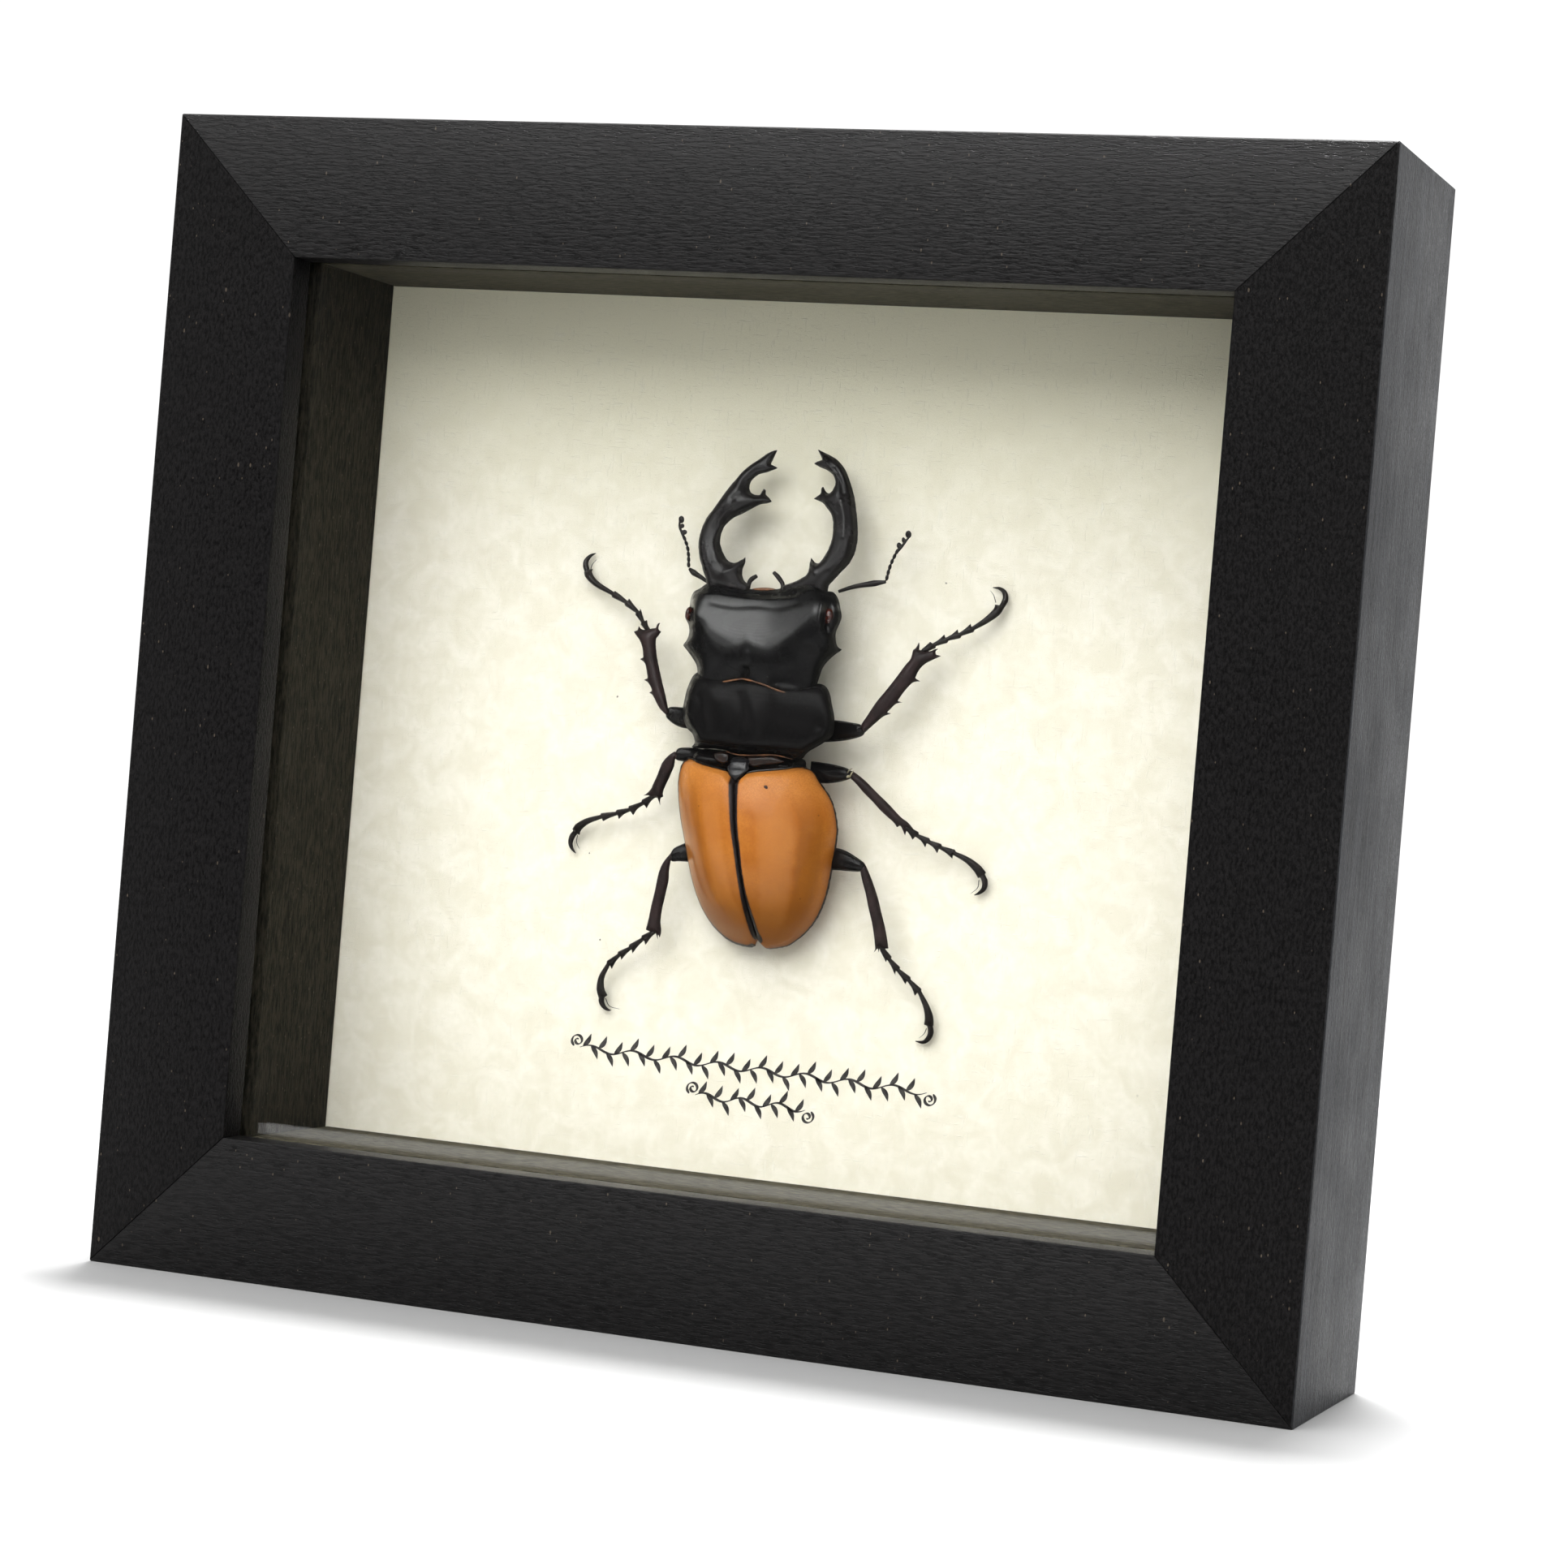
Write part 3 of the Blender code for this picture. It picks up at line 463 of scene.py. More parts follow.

# %% [markdown]
# ## Making pieces
#
# Each piece is shaped as a bmesh and then becomes an object at the origin, with its place in its
# mesh. It rides on the one body, takes a finish's slot, and hides the nodes of the fixed model
# that it stands for.

# %% Turn a bmesh into a piece
def make_piece(name, bm, finish, nodes=(), matrix=SPECIMEN, smooth=True, sharp_angle=None):
    """The finished object of a bmesh, which it frees."""
    bmesh.ops.transform(bm, matrix=matrix, verts=bm.verts[:])
    mesh = bpy.data.meshes.new(name)
    bm.to_mesh(mesh)
    bm.free()
    if smooth:
        mesh.shade_smooth()
    if sharp_angle is not None:
        mesh.set_sharp_from_angle(angle=math.radians(sharp_angle))
    mesh.materials.append(finish)
    piece = add_object(name, mesh)
    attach(piece, "root")
    if nodes:
        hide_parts(*nodes)
    print(name, len(mesh.polygons), "faces")
    return piece


# %% [markdown]
# ## The frame
#
# Each rail is an L in section: a wide face, a lip that covers the pane's edge, and a deep outer
# wall. The section is drawn once as a flat face whose front corners are rounded with a vertex
# bevel, extruded along the rail, and cut at both ends by a mitre plane. A hairline bevel on the
# cut makes the thin dark line that shows where two rails meet.

# %% Four mitred rails
RAIL_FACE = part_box("rail_bottom")[1].z
GLASS_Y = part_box("glass_pane")[0].y
LIP_BACK_Y = GLASS_Y - 0.3 * MM
RABBET = RAIL_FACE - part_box("glass_pane")[0].z
ROUNDED_CORNERS = ((0, 0.45 * MM), (1, 0.3 * MM), (5, 0.4 * MM))
MITRE_GAP, MITRE_BEVEL = 0.02 * MM, 0.09 * MM
SIDES = {"bottom": 0, "right": 1, "top": 2, "left": 3}


def rail_section(bm, half_length):
    """The rail's section at x = -half_length, with its outer wall at z = 0 and its face to -y."""
    wall = RAIL_FACE - RABBET
    corners = [(FRONT_Y, 0), (FRONT_Y, RAIL_FACE), (LIP_BACK_Y, RAIL_FACE), (LIP_BACK_Y, wall),
               (BACK_Y, wall), (BACK_Y, 0)]
    verts = [bm.verts.new((-half_length, y, z)) for y, z in corners]
    bm.faces.new(verts)
    for corner, width in ROUNDED_CORNERS:
        bmesh.ops.bevel(bm, geom=[verts[corner]], offset=width, affect="VERTICES", segments=3,
                        profile=0.5, material=-1)


def only(kind, parts):
    """Those of the parts of a bmesh that are of one kind."""
    return [part for part in parts if isinstance(part, kind)]


def make_rail(side):
    """One rail, modelled lying along the bottom and then turned round the frame's middle."""
    turns = SIDES[side]
    lying = turns % 2 == 0
    middle = Vector((0, 0, (FRAME_LOW.z + FRAME_HIGH.z) / 2))
    half_length, half_across = (FRAME_HIGH.x, middle.z) if lying else (middle.z, FRAME_HIGH.x)
    bm = bmesh.new()
    rail_section(bm, half_length)
    made = bmesh.ops.extrude_face_region(bm, geom=bm.faces[:])
    far_end = only(bmesh.types.BMVert, made["geom"])
    bmesh.ops.translate(bm, vec=(2 * half_length, 0, 0), verts=far_end)
    for sign in (-1, 1):
        mitre = Vector((sign, 0, 1)).normalized()
        corner = Vector((sign * (half_length - MITRE_GAP), 0, 0))
        cut = bmesh.ops.bisect_plane(bm, geom=bm.verts[:] + bm.edges[:] + bm.faces[:], dist=1e-7,
                                     plane_co=corner, plane_no=mitre, clear_outer=True)
        rim = only(bmesh.types.BMEdge, cut["geom_cut"])
        bmesh.ops.contextual_create(bm, geom=rim)
        bmesh.ops.bevel(bm, geom=rim, offset=MITRE_BEVEL, affect="EDGES", segments=1, profile=0.5,
                        material=-1)
    turn = Matrix.Rotation(-turns * math.pi / 2, 3, "Y")
    bmesh.ops.translate(bm, vec=(0, 0, -half_across), verts=bm.verts[:])
    bmesh.ops.rotate(bm, cent=(0, 0, 0), matrix=turn, verts=bm.verts[:])
    bmesh.ops.translate(bm, vec=middle, verts=bm.verts[:])
    bmesh.ops.recalc_face_normals(bm, faces=bm.faces[:])
    finish = RAIL_STAIN["lying" if lying else "standing"]
    make_piece("frame_rail_" + side, bm, finish, ["rail_" + side], Matrix(),
               sharp_angle=25)


for side in SIDES:
    make_rail(side)

# %% [markdown]
# Pane, liner and paper are flat-sided, so the fixed model's own shapes are right. They only take
# new finishes.

# %% Pane, liner and paper
def refinish(node, finish):
    """Gives a node of the fixed model, whose shape is right, its new finish."""
    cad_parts[node].data.materials.clear()
    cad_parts[node].data.materials.append(finish)


refinish("glass_pane", GLASS)
for side in SIDES:
    refinish("liner_" + side, LINER_STAINS_PAINTED_LIGHT[side])
refinish("backing_paper", PARCHMENT)
print("new finishes on", len(SIDES) + 2, "nodes of the fixed model")

# %% [markdown]
# ## The back
#
# Brown hardboard closes the back, held by eight thin points, and a sawtooth plate hangs the
# frame. Its two nails have domed, brassed heads.

# %% Hardboard, steel and brass
HARDBOARD, tree, shader = new_finish("hardboard", {"Roughness": 0.75, "Specular IOR Level": 0.3})
place = place_in_mm(tree)
fleck = remap(tree, noise(tree, place, 1.4, 5.0, 0.7, 0.8), 0.3, 0.7)
scuff = remap(tree, noise(tree, place, 0.08, 4.0, 0.6), 0.5, 0.75)
colour = mix_colour(tree, fleck, (0.085, 0.045, 0.022), (0.21, 0.125, 0.068))
colour = mix_colour(tree, times(tree, scuff, 0.35), colour, (0.26, 0.17, 0.10))
feed(shader, "Base Color", colour)
feed(shader, "Normal", bump(tree, fleck, 0.05))

STEEL, tree, shader = new_finish("zinc_plated_steel", {"Metallic": 1.0})
brushed = noise(tree, place_in_mm(tree, (0.1, 1, 1)), 4.0, 3.0, 0.6)
spangle = remap(tree, noise(tree, place_in_mm(tree), 0.5, 2.0), 0.3, 0.7)
feed(shader, "Base Color", mix_colour(tree, spangle, (0.20, 0.20, 0.19), (0.32, 0.32, 0.31)))
feed(shader, "Roughness", remap(tree, brushed, 0.3, 0.7, 0.36, 0.55))
feed(shader, "Normal", bump(tree, brushed, 0.01))

BRASS, tree, shader = new_finish("brassed_nail", {"Metallic": 1.0})
tarnish = remap(tree, noise(tree, place_in_mm(tree), 1.5, 3.0), 0.3, 0.7)
feed(shader, "Base Color", mix_colour(tree, tarnish, (0.16, 0.10, 0.035), (0.42, 0.29, 0.11)))
feed(shader, "Roughness", remap(tree, tarnish, 0, 1, 0.45, 0.28))

refinish("backing_board", HARDBOARD)
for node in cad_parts:
    if node.startswith(("retaining_point", "sawtooth")):
        refinish(node, STEEL)

for side in ("left", "right"):
    low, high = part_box("hanger_nail_" + side)
    radius = (high - low).x / 2
    bm = bmesh.new()
    bmesh.ops.create_uvsphere(bm, u_segments=32, v_segments=16, radius=1)
    under = [v for v in bm.verts if v.co.z < -0.01]
    bmesh.ops.delete(bm, geom=under, context="VERTS")
    bmesh.ops.holes_fill(bm, edges=[e for e in bm.edges if e.is_boundary])
    bmesh.ops.scale(bm, vec=(radius, radius, (high - low).y), verts=bm.verts[:])
    bmesh.ops.rotate(bm, matrix=Matrix.Rotation(-math.pi / 2, 3, "X"), verts=bm.verts[:])
    middle = ((low.x + high.x) / 2, low.y, (low.z + high.z) / 2)
    bmesh.ops.translate(bm, vec=middle, verts=bm.verts[:])
    make_piece("nail_head_" + side, bm, BRASS, ["hanger_nail_" + side], Matrix(),
               sharp_angle=40)

# %% [markdown]
# ## Tools for the beetle
#
# A beetle has hardly a straight line in it. What tells its parts apart is their outline, so each
# part starts as a flat outline, drawn as smooth stretches that meet in sharp corners. Each
# stretch lists the points after the corner where the one before it ended.

# %% Smooth outlines
def smooth_route(points, step):
    """Points about step apart on a smooth curve through the given points, of any dimension."""
    p = np.array(points, float)
    if len(p) < 3:
        p = np.linspace(p[0], p[-1], 3)
    ends = np.vstack([2 * p[0] - p[1], p, 2 * p[-1] - p[-2]])
    curve = []
    for a, b, c, d in zip(ends, ends[1:], ends[2:], ends[3:]):
        count = max(1, round(float(np.linalg.norm(c - b)) / step))
        for t in np.arange(count) / count:
            curve.append(0.5 * (2 * b + (c - a) * t + (2 * a - 5 * b + 4 * c - d) * t * t
                                + (3 * b - a - 3 * c + d) * t ** 3))
    return np.array(curve + [p[-1]])


def closed_outline(stretches, step):
    """One closed outline from stretches that each run smoothly and meet in corners. Each starts
    where the one before it ends, and the first where the last ends."""
    corners = [stretch[-1] for stretch in stretches]
    starts = corners[-1:] + corners[:-1]
    return np.vstack([smooth_route((start, *stretch), step)[:-1]
                      for start, stretch in zip(starts, stretches)])


def nearest_on(route, points):
    """For each point: its distance to the route, and the index and share of the nearest piece."""
    best = np.full(len(points), np.inf)
    piece = np.zeros(len(points), int)
    share = np.zeros(len(points))
    for i, (a, b) in enumerate(zip(route, route[1:])):
        along = (b - a)[:2]
        t = np.clip((points - a[:2]) @ along / max(along @ along, 1e-12), 0, 1)
        distance = np.linalg.norm(points - a[:2] - t[:, None] * along, axis=1)
        closer = distance < best
        best[closer] = distance[closer]
        piece[closer] = i
        share[closer] = t[closer]
    return best, piece, share


def height_along(route):
    """A function of places on the drawing: the height of the nearest point of a 3-D route."""
    line = smooth_route(route, step=0.5)

    def height(places):
        _, piece, share = nearest_on(line, places)
        return line[piece, 2] * (1 - share) + line[piece + 1, 2] * share
    return height


def profile(points, values):
    """Reads a table of (position, value) pairs smoothly at each of values."""
    line = smooth_route(points, step=0.25)
    order = np.argsort(line[:, 0])
    return np.interp(values, line[order, 0], line[order, 1])


# %% [markdown]
# The outlines are read off a view that looks in from the right. A point that stands higher above
# the paper shows further to the left there, so each outline says on which height it was read, and
# is slid along the line of sight to the height where it really lies.

# %% Slide an outline to its height
CAMERA_HEIGHT = (PAPER_Y - CAMERA_PLACE.y) / MM


def slide(outline, read_height, height):
    """Moves (x, z) points seen on the plane read_height along the line of sight to height."""
    outline = np.array(outline, float)
    eye = np.array([CAMERA_PLACE.x, CAMERA_PLACE.z]) / MM
    share = (height - read_height) / (CAMERA_HEIGHT - read_height)
    return outline + (eye - outline) * np.reshape(share, (-1, 1))


def at_height(points, heights):
    """(x, z, h) points from (x, z) points and their heights, or one height for all."""
    return np.column_stack([points, np.broadcast_to(heights, len(points))])


# %% [markdown]
# The outline is filled with small triangles, and then blown up like a cushion: a thin film held
# at its rim takes a rounded shape, which is thick where the part is wide and thin out to the tip
# of every tooth and spine. The film's height solves one equation on the triangles, which
# conjugate gradients do in a few hundred short steps.

# %% Fill an outline and blow it up
ROW_SHARE, RIM_CLEARANCE = 0.866, 0.6
FILM_STEPS, FILM_ENOUGH = 900, 1e-9


def places_of(bm):
    """The (x, z) of every vertex on the drawing."""
    return np.array([(v.co.x, v.co.y) for v in bm.verts])


def inside(ring, points):
    """Which points lie inside a closed ring: they see an odd number of crossings to their right."""
    crossings = np.zeros(len(points), int)
    for a, b in zip(ring, ring[1:]):
        if a[1] != b[1]:
            crossed_at = a[0] + (points[:, 1] - a[1]) * (b[0] - a[0]) / (b[1] - a[1])
            between = (a[1] <= points[:, 1]) != (b[1] <= points[:, 1])
            crossings += between & (points[:, 0] < crossed_at)
    return crossings % 2 == 1


def fill_sheet(outline, spacing):
    """A flat bmesh inside the outline, in small even triangles. A narrow part gets a crease."""
    low, high = outline.min(axis=0), outline.max(axis=0)
    across, up = np.meshgrid(np.arange(low[0], high[0], spacing),
                             np.arange(low[1], high[1], spacing * ROW_SHARE))
    across[1::2] += spacing / 2
    ring = np.vstack([outline, outline[:1]])
    inner = np.column_stack([across.ravel(), up.ravel()])
    inner = inner[inside(ring, inner)]
    inner = inner[nearest_on(ring, inner)[0] > RIM_CLEARANCE * spacing]
    places = [Vector(place) for place in np.vstack([outline, inner])]
    places, _, faces, *_ = delaunay_2d_cdt(places, [], [list(range(len(outline)))], 1, 1e-5)
    bm = bmesh.new()
    verts = [bm.verts.new((*place, 0)) for place in places]
    for corners in faces:
        bm.faces.new([verts[i] for i in corners])
    bmesh.ops.delete(bm, geom=[v for v in bm.verts if not v.link_faces], context="VERTS")
    narrow = [e for e in bm.edges
              if not e.is_boundary and e.verts[0].is_boundary and e.verts[1].is_boundary]
    bmesh.ops.subdivide_edges(bm, edges=narrow, cuts=1)
    bmesh.ops.triangulate(bm, faces=[f for f in bm.faces if len(f.verts) > 3])
    return bm


def swell(bm, reach=None):
    """How high a film over the sheet stands at each vertex. Without reach it gives a round section,
    in mm; with reach it rises to 1 within about that many mm of the rim and is flat beyond."""
    bm.verts.index_update()
    corners = np.array([[v.index for v in f.verts] for f in bm.faces])
    places = places_of(bm)
    count = len(places)
    ends, stiffness, load = [], [], np.zeros(count)
    for turn in range(3):
        a, b, c = (np.roll(corners, turn, axis=1)[:, i] for i in range(3))
        to_b, to_c = places[b] - places[a], places[c] - places[a]
        double_area = np.maximum(np.abs(to_b[:, 0] * to_c[:, 1] - to_b[:, 1] * to_c[:, 0]), 1e-7)
        ends.append(np.column_stack([b, c]))
        stiffness.append(np.clip((to_b * to_c).sum(axis=1) / double_area, -30, 30) / 2)
        load += np.bincount(a, double_area / 6, count)
    near, far = np.vstack(ends).T
    stiffness = np.concatenate(stiffness)
    load[[v.index for v in bm.verts if v.is_boundary]] = 0
    hold = load / reach ** 2 if reach else load * 0
    own = np.bincount(near, stiffness, count) + np.bincount(far, stiffness, count) + hold
    own = np.maximum(own, 1e-6)

    def pull(rise):
        force = stiffness * (rise[near] - rise[far])
        total = np.bincount(near, force, count) - np.bincount(far, force, count)
        return np.where(load > 0, total + hold * rise, 0)

    rise = np.zeros(count)
    left = hold if reach else load
    eased = left / own
    heading = eased.copy()
    size = first = left @ eased
    for _ in range(FILM_STEPS):
        pulled = pull(heading)
        step = size / (heading @ pulled)
        rise = rise + step * heading
        left = left - step * pulled
        eased = left / own
        size, before = left @ eased, size
        if size < FILM_ENOUGH * first:
            break
        heading = eased + heading * size / before
    rise = np.clip(rise, 0, None)
    return np.sqrt(1 - (1 - np.clip(rise, 0, 1)) ** 2) if reach else np.sqrt(2 * rise)


def blow_up(bm, middle, top, bottom):
    """Makes a flat sheet a closed body, from one height per vertex or one for all: of the sheet's
    middle, and of the body above and below it."""
    sheet = bm.verts[:]
    under = bmesh.ops.duplicate(bm, geom=sheet + bm.edges[:] + bm.faces[:])
    heights = zip(*(np.broadcast_to(height, len(sheet)) for height in (middle, top, bottom)))
    for vert, (level, above, below) in zip(sheet, heights):
        vert.co.z = level + above
        under["vert_map"][vert].co.z = level - below
    bmesh.ops.reverse_faces(bm, faces=only(bmesh.types.BMFace, under["geom"]))
    bmesh.ops.remove_doubles(bm, verts=bm.verts[:], dist=1e-5)
    return bm


def lean(bm, read_height):
    """Slides every vertex of a body that was blown up over the drawing along the line of sight to
    its own height, so that the outline that the camera sees stays the one that was drawn."""
    heights = np.array([v.co.z for v in bm.verts])
    for vert, place in zip(bm.verts, slide(places_of(bm), read_height, heights)):
        vert.co.xy = place
    return bm


# %% [markdown]
# A voxel remesh then melts everything that is in the bmesh into one skin of even, small faces. It
# also joins parts that only overlap, such as a claw and the foot that it grows from. Strokes
# carve the skin after that: each is a line with a width and a height, like the mark of a thumb.
# Strokes are read off the same plane as the outline, so each vertex is first slid to that plane
# to see which strokes pass over it.

# %% Remesh and carve
def reskin(bm, voxel, smoothing=2, levelling=0):
    """One even skin around all in the bmesh, which it frees. Levelling smooths heights alone."""
    mesh = bpy.data.meshes.new("shaping")
    bm.to_mesh(mesh)
    bm.free()
    holder = add_object("shaping", mesh)
    skin = holder.modifiers.new("skin", "REMESH")
    skin.mode = "VOXEL"
    skin.voxel_size = voxel
    evaluated = holder.evaluated_get(bpy.context.evaluated_depsgraph_get())
    result = bmesh.new()
    result.from_mesh(evaluated.to_mesh())
    evaluated.to_mesh_clear()
    bpy.data.objects.remove(holder)
    bpy.data.meshes.remove(mesh)
    for sideways in [True] * smoothing + [False] * levelling:
        bmesh.ops.smooth_vert(result, verts=result.verts[:], factor=0.5, use_axis_x=sideways,
                              use_axis_y=sideways, use_axis_z=True)
    return result


def carve(bm, strokes, read_height):
    """Raises or sinks the upper side by each stroke's height on its line, fading over its width."""
    places = slide(places_of(bm), np.array([v.co.z for v in bm.verts]), read_height)
    change = np.zeros(len(places))
    for line, width, height in strokes:
        distance = nearest_on(smooth_route(line, step=0.3), places)[0]
        change += height * np.exp(-(distance / width) ** 2)
    bm.normal_update()
    for vert, amount in zip(bm.verts, change):
        facing = min(max(vert.normal.z * 2, 0), 1)
        vert.co += vert.normal * (amount * facing)
    return bm


def add_measure(piece, label, values):
    """Stores one number per vertex, which a finish reads by its label."""
    values = np.asarray(values, np.float32)
    piece.data.attributes.new(label, "FLOAT", "POINT").data.foreach_set("value", values)


def drawing_places(piece):
    """The (x, z) of every vertex of a finished specimen piece, in mm."""
    return np.array([(v.co.x, v.co.z) for v in piece.data.vertices]) / MM


def drawing_heights(piece):
    """The height above the paper of every vertex of a finished specimen piece, in mm."""
    return (PAPER_Y - np.array([v.co.y for v in piece.data.vertices])) / MM


# %% [markdown]
# Thin round things, such as claws, feelers and bristles, are rods: circles set along a route and
# bridged one to the next. A bead is a stretched ball.

# %% Rods and beads
def add_rod(bm, route, radii, sides=12, step=0.25):
    """A round rod along a 3-D route, whose radius runs smoothly through radii."""
    line = smooth_route(route, step)
    reach = np.linspace(0, 1, len(line))
    widths = np.interp(reach, np.linspace(0, 1, len(radii)), radii)
    loops = []
    for i, (point, width) in enumerate(zip(line, widths)):
        ahead = Vector(line[min(i + 1, len(line) - 1)] - line[max(i - 1, 0)])
        turn = ahead.to_track_quat("Z", "Y").to_matrix().to_4x4()
        made = bmesh.ops.create_circle(bm, cap_ends=i in (0, len(line) - 1), segments=sides,
                                       radius=width, matrix=Matrix.Translation(point) @ turn)
        loops.append(list({e for v in made["verts"] for e in v.link_edges}))
    for near, far in zip(loops, loops[1:]):
        bmesh.ops.bridge_loops(bm, edges=near + far)


def add_bead(bm, place, size, turn=0.0):
    """A rounded bead. size is its half-length along x, z and h, and turn turns it on the paper."""
    matrix = Matrix.Translation(place) @ Matrix.Rotation(turn, 4, "Z") @ Matrix.Diagonal((*size, 1))
    bmesh.ops.create_icosphere(bm, subdivisions=3, radius=1, matrix=matrix)


# %% [markdown]
# ## The head
#
# The head is a broad hard box with a spike behind each eye. Its front slopes down to the jaws as
# one satin shield; behind the shield it is glossy black and falls away to the neck. The outline
# carries the spikes and the notches round the eyes, and strokes carve the shield's rim, the
# hollow band in front of it and the pit at the back.

# %% Head
HEAD_READ_AT = 6.5
HEAD_OUTLINE = (
    ((-13.2, 103.2), (-13.9, 102.8), (-14.3, 102.0), (-14.5, 101.0), (-14.9, 100.0), (-15.1, 99.3),
     (-14.9, 98.6), (-14.4, 97.9), (-14.2, 97.0), (-14.4, 95.9), (-15.0, 95.0)),
    ((-14.2, 94.2), (-13.3, 93.2), (-12.6, 92.2), (-12.4, 91.2), (-12.4, 90.4), (-12.0, 89.8),
     (-11.2, 89.4), (-9.0, 90.0), (-6.0, 90.7), (-5.1, 90.8), (-4.0, 90.6), (-1.0, 89.8),
     (2.0, 89.2), (3.5, 89.3), (4.8, 89.7), (5.7, 90.4), (6.1, 91.6), (6.5, 93.1), (7.2, 94.2),
     (8.2, 95.2), (9.3, 96.0)),
    ((8.5, 96.4), (8.15, 97.3), (8.05, 98.3), (8.5, 99.6), (8.75, 100.6), (8.5, 101.6),
     (8.0, 103.1), (7.2, 104.0), (6.2, 104.1)),
    ((4.6, 104.8), (3.2, 105.3), (1.4, 104.8), (-1.0, 104.0), (-3.0, 103.7), (-5.5, 103.7),
     (-8.0, 104.1), (-10.0, 104.4), (-12.2, 104.0)),
)
SHIELD_EDGE = (
    (-15.5, 99.6), (-13.4, 99.4), (-12.4, 98.0), (-11.4, 96.6), (-10.0, 95.5), (-8.0, 95.0),
    (-6.3, 95.4), (-5.2, 96.0), (-4.0, 95.5), (-2.0, 95.2), (-0.3, 96.0), (1.5, 97.5), (3.3, 99.2),
    (5.0, 100.6), (9.5, 101.5),
)
SHIELD_SWEEP = (
    (-15.5, 99.6), (-13.4, 99.0), (-11.0, 97.2), (-8.0, 96.0), (-5.2, 95.7), (-2.0, 96.0),
    (1.5, 97.8), (5.0, 100.4), (9.5, 101.5),
)
HEAD_CROWN = (
    (-10.0, 3.9), (-6.0, 4.6), (-3.6, 5.1), (-1.4, 5.3), (0.0, 5.2), (1.0, 4.95), (2.5, 4.45),
    (4.5, 3.7), (6.5, 2.9), (8.5, 2.0), (11.0, 1.3),
)
HEAD_MARGIN, HEAD_BELLY, HEAD_REACH = 6.3, 2.9, 1.9
NECK_RISE, NECK_MIDDLE, NECK_HALF_WIDTH, NECK_AT = 4.4, -3.0, 9.9, 91.6
EDGE_WIDTH, CROWN_AT_LEAST = 1.3, 0.6
SATIN_ENDS_AT = 102.6
HEAD_STROKES = (
    (((-9.0, 103.4), (-4.0, 103.1), (1.0, 103.4)), 0.8, -0.35),
    (((-12.0, 102.3), (-8.5, 102.5), (-3.0, 102.3), (1.5, 102.9), (4.0, 104.2)), 0.5, 0.14),
    (((-11.0, 101.5), (-8.0, 101.2), (-4.0, 101.5), (-1.0, 101.4), (1.8, 102.2)), 0.6, -0.14),
    (((-5.1, 92.2), (-5.1, 91.4)), 0.6, -0.35),
    (((-5.15, 94.4), (-5.1, 92.8)), 0.5, 0.16),
    (((3.6, 96.6), (4.9, 96.6), (5.8, 95.9)), 0.35, 0.14),
    (((3.2, 96.2), (4.4, 94.2)), 1.3, -0.25),
    (((-8.5, 94.2), (-8.3, 93.0), (-7.5, 92.3), (-5.5, 91.6)), 0.14, 0.05),
    (((-13.0, 97.9), (-12.7, 95.6)), 0.9, -0.35),
    (((6.95, 99.2), (6.9, 101.6)), 0.85, -1.6),
    (((5.6, 98.7), (5.5, 100.4), (5.7, 102.2)), 0.35, 0.25),
    (((8.4, 98.9), (8.6, 100.4), (8.4, 101.8)), 0.3, 0.25),
    (((-14.3, 98.6), (-14.4, 100.4)), 0.5, -0.6),
)


def head_margin(places):
    """The height of the head's edge: it lifts where the hind edge lies over the plate behind it."""
    middle = np.clip(1 - ((places[:, 0] - NECK_MIDDLE) / NECK_HALF_WIDTH) ** 4, 0, 1)
    return HEAD_MARGIN + NECK_RISE * middle * (0.5 - 0.5 * np.tanh(places[:, 1] - NECK_AT))


bm = fill_sheet(closed_outline(HEAD_OUTLINE, step=0.3), spacing=0.35)
rise = swell(bm, HEAD_REACH)
places = places_of(bm)
past_edge = places[:, 1] - profile(SHIELD_EDGE, places[:, 0])
past_sweep = places[:, 1] - profile(SHIELD_SWEEP, places[:, 0])
near_edge = np.exp(-(past_edge / EDGE_WIDTH) ** 2)
past = past_edge * near_edge + past_sweep * (1 - near_edge)
margin = head_margin(places)
crown = np.maximum(HEAD_MARGIN + profile(HEAD_CROWN, past) - margin, CROWN_AT_LEAST)
bm = blow_up(bm, margin, crown * rise, (margin - HEAD_BELLY) * rise)
bm = reskin(lean(bm, HEAD_READ_AT), voxel=0.14, levelling=6)
bm = carve(bm, HEAD_STROKES, HEAD_READ_AT)
head = make_piece("head", bm, HEAD_SKIN, ["beetle_head"])
places = slide(drawing_places(head), drawing_heights(head), HEAD_READ_AT)
behind = (places[:, 1] - profile(SHIELD_EDGE, places[:, 0])) / 0.7
before = (SATIN_ENDS_AT - places[:, 1]) / 1.2
add_measure(head, "satin", np.clip(behind, 0, 1) * np.clip(before, 0, 1))

# %% [markdown]
# A compound eye sits in the notch on each side: a polished red-brown bead that is sunk in the
# head. The upper lip is a small brown bead between the jaws.

# %% Eyes and lip
EYE = two_tone("eye", {"Roughness": 0.14, "Coat Weight": 0.15, "Coat Roughness": 0.05}, scale=1.3,
               detail=2.0, low=0.35, dark=(0.016, 0.003, 0.002), pale=(0.055, 0.011, 0.006))
BROWN_RIM = two_tone("brown_rim", {"Roughness": 0.3}, scale=1.1, detail=3.0, low=0.35,
                     dark=(0.004, 0.003, 0.003), pale=(0.024, 0.010, 0.006))
FRINGE_BROWN = two_tone("fringe_brown", {"Roughness": 0.5}, scale=0.9, detail=3.0, low=0.35,
                        dark=(0.055, 0.020, 0.008), pale=(0.23, 0.090, 0.030))
EYES = {
    "left": ((-14.3, 99.5), 7.6, (0.55, 1.05, 1.1)),
    "right": ((6.95, 100.4), 9.35, (0.85, 1.3, 1.0)),
}
UPPER_LIP_PLACE, UPPER_LIP_SIZE = (-3.5, 103.7, 6.0), (1.9, 0.3, 0.4)
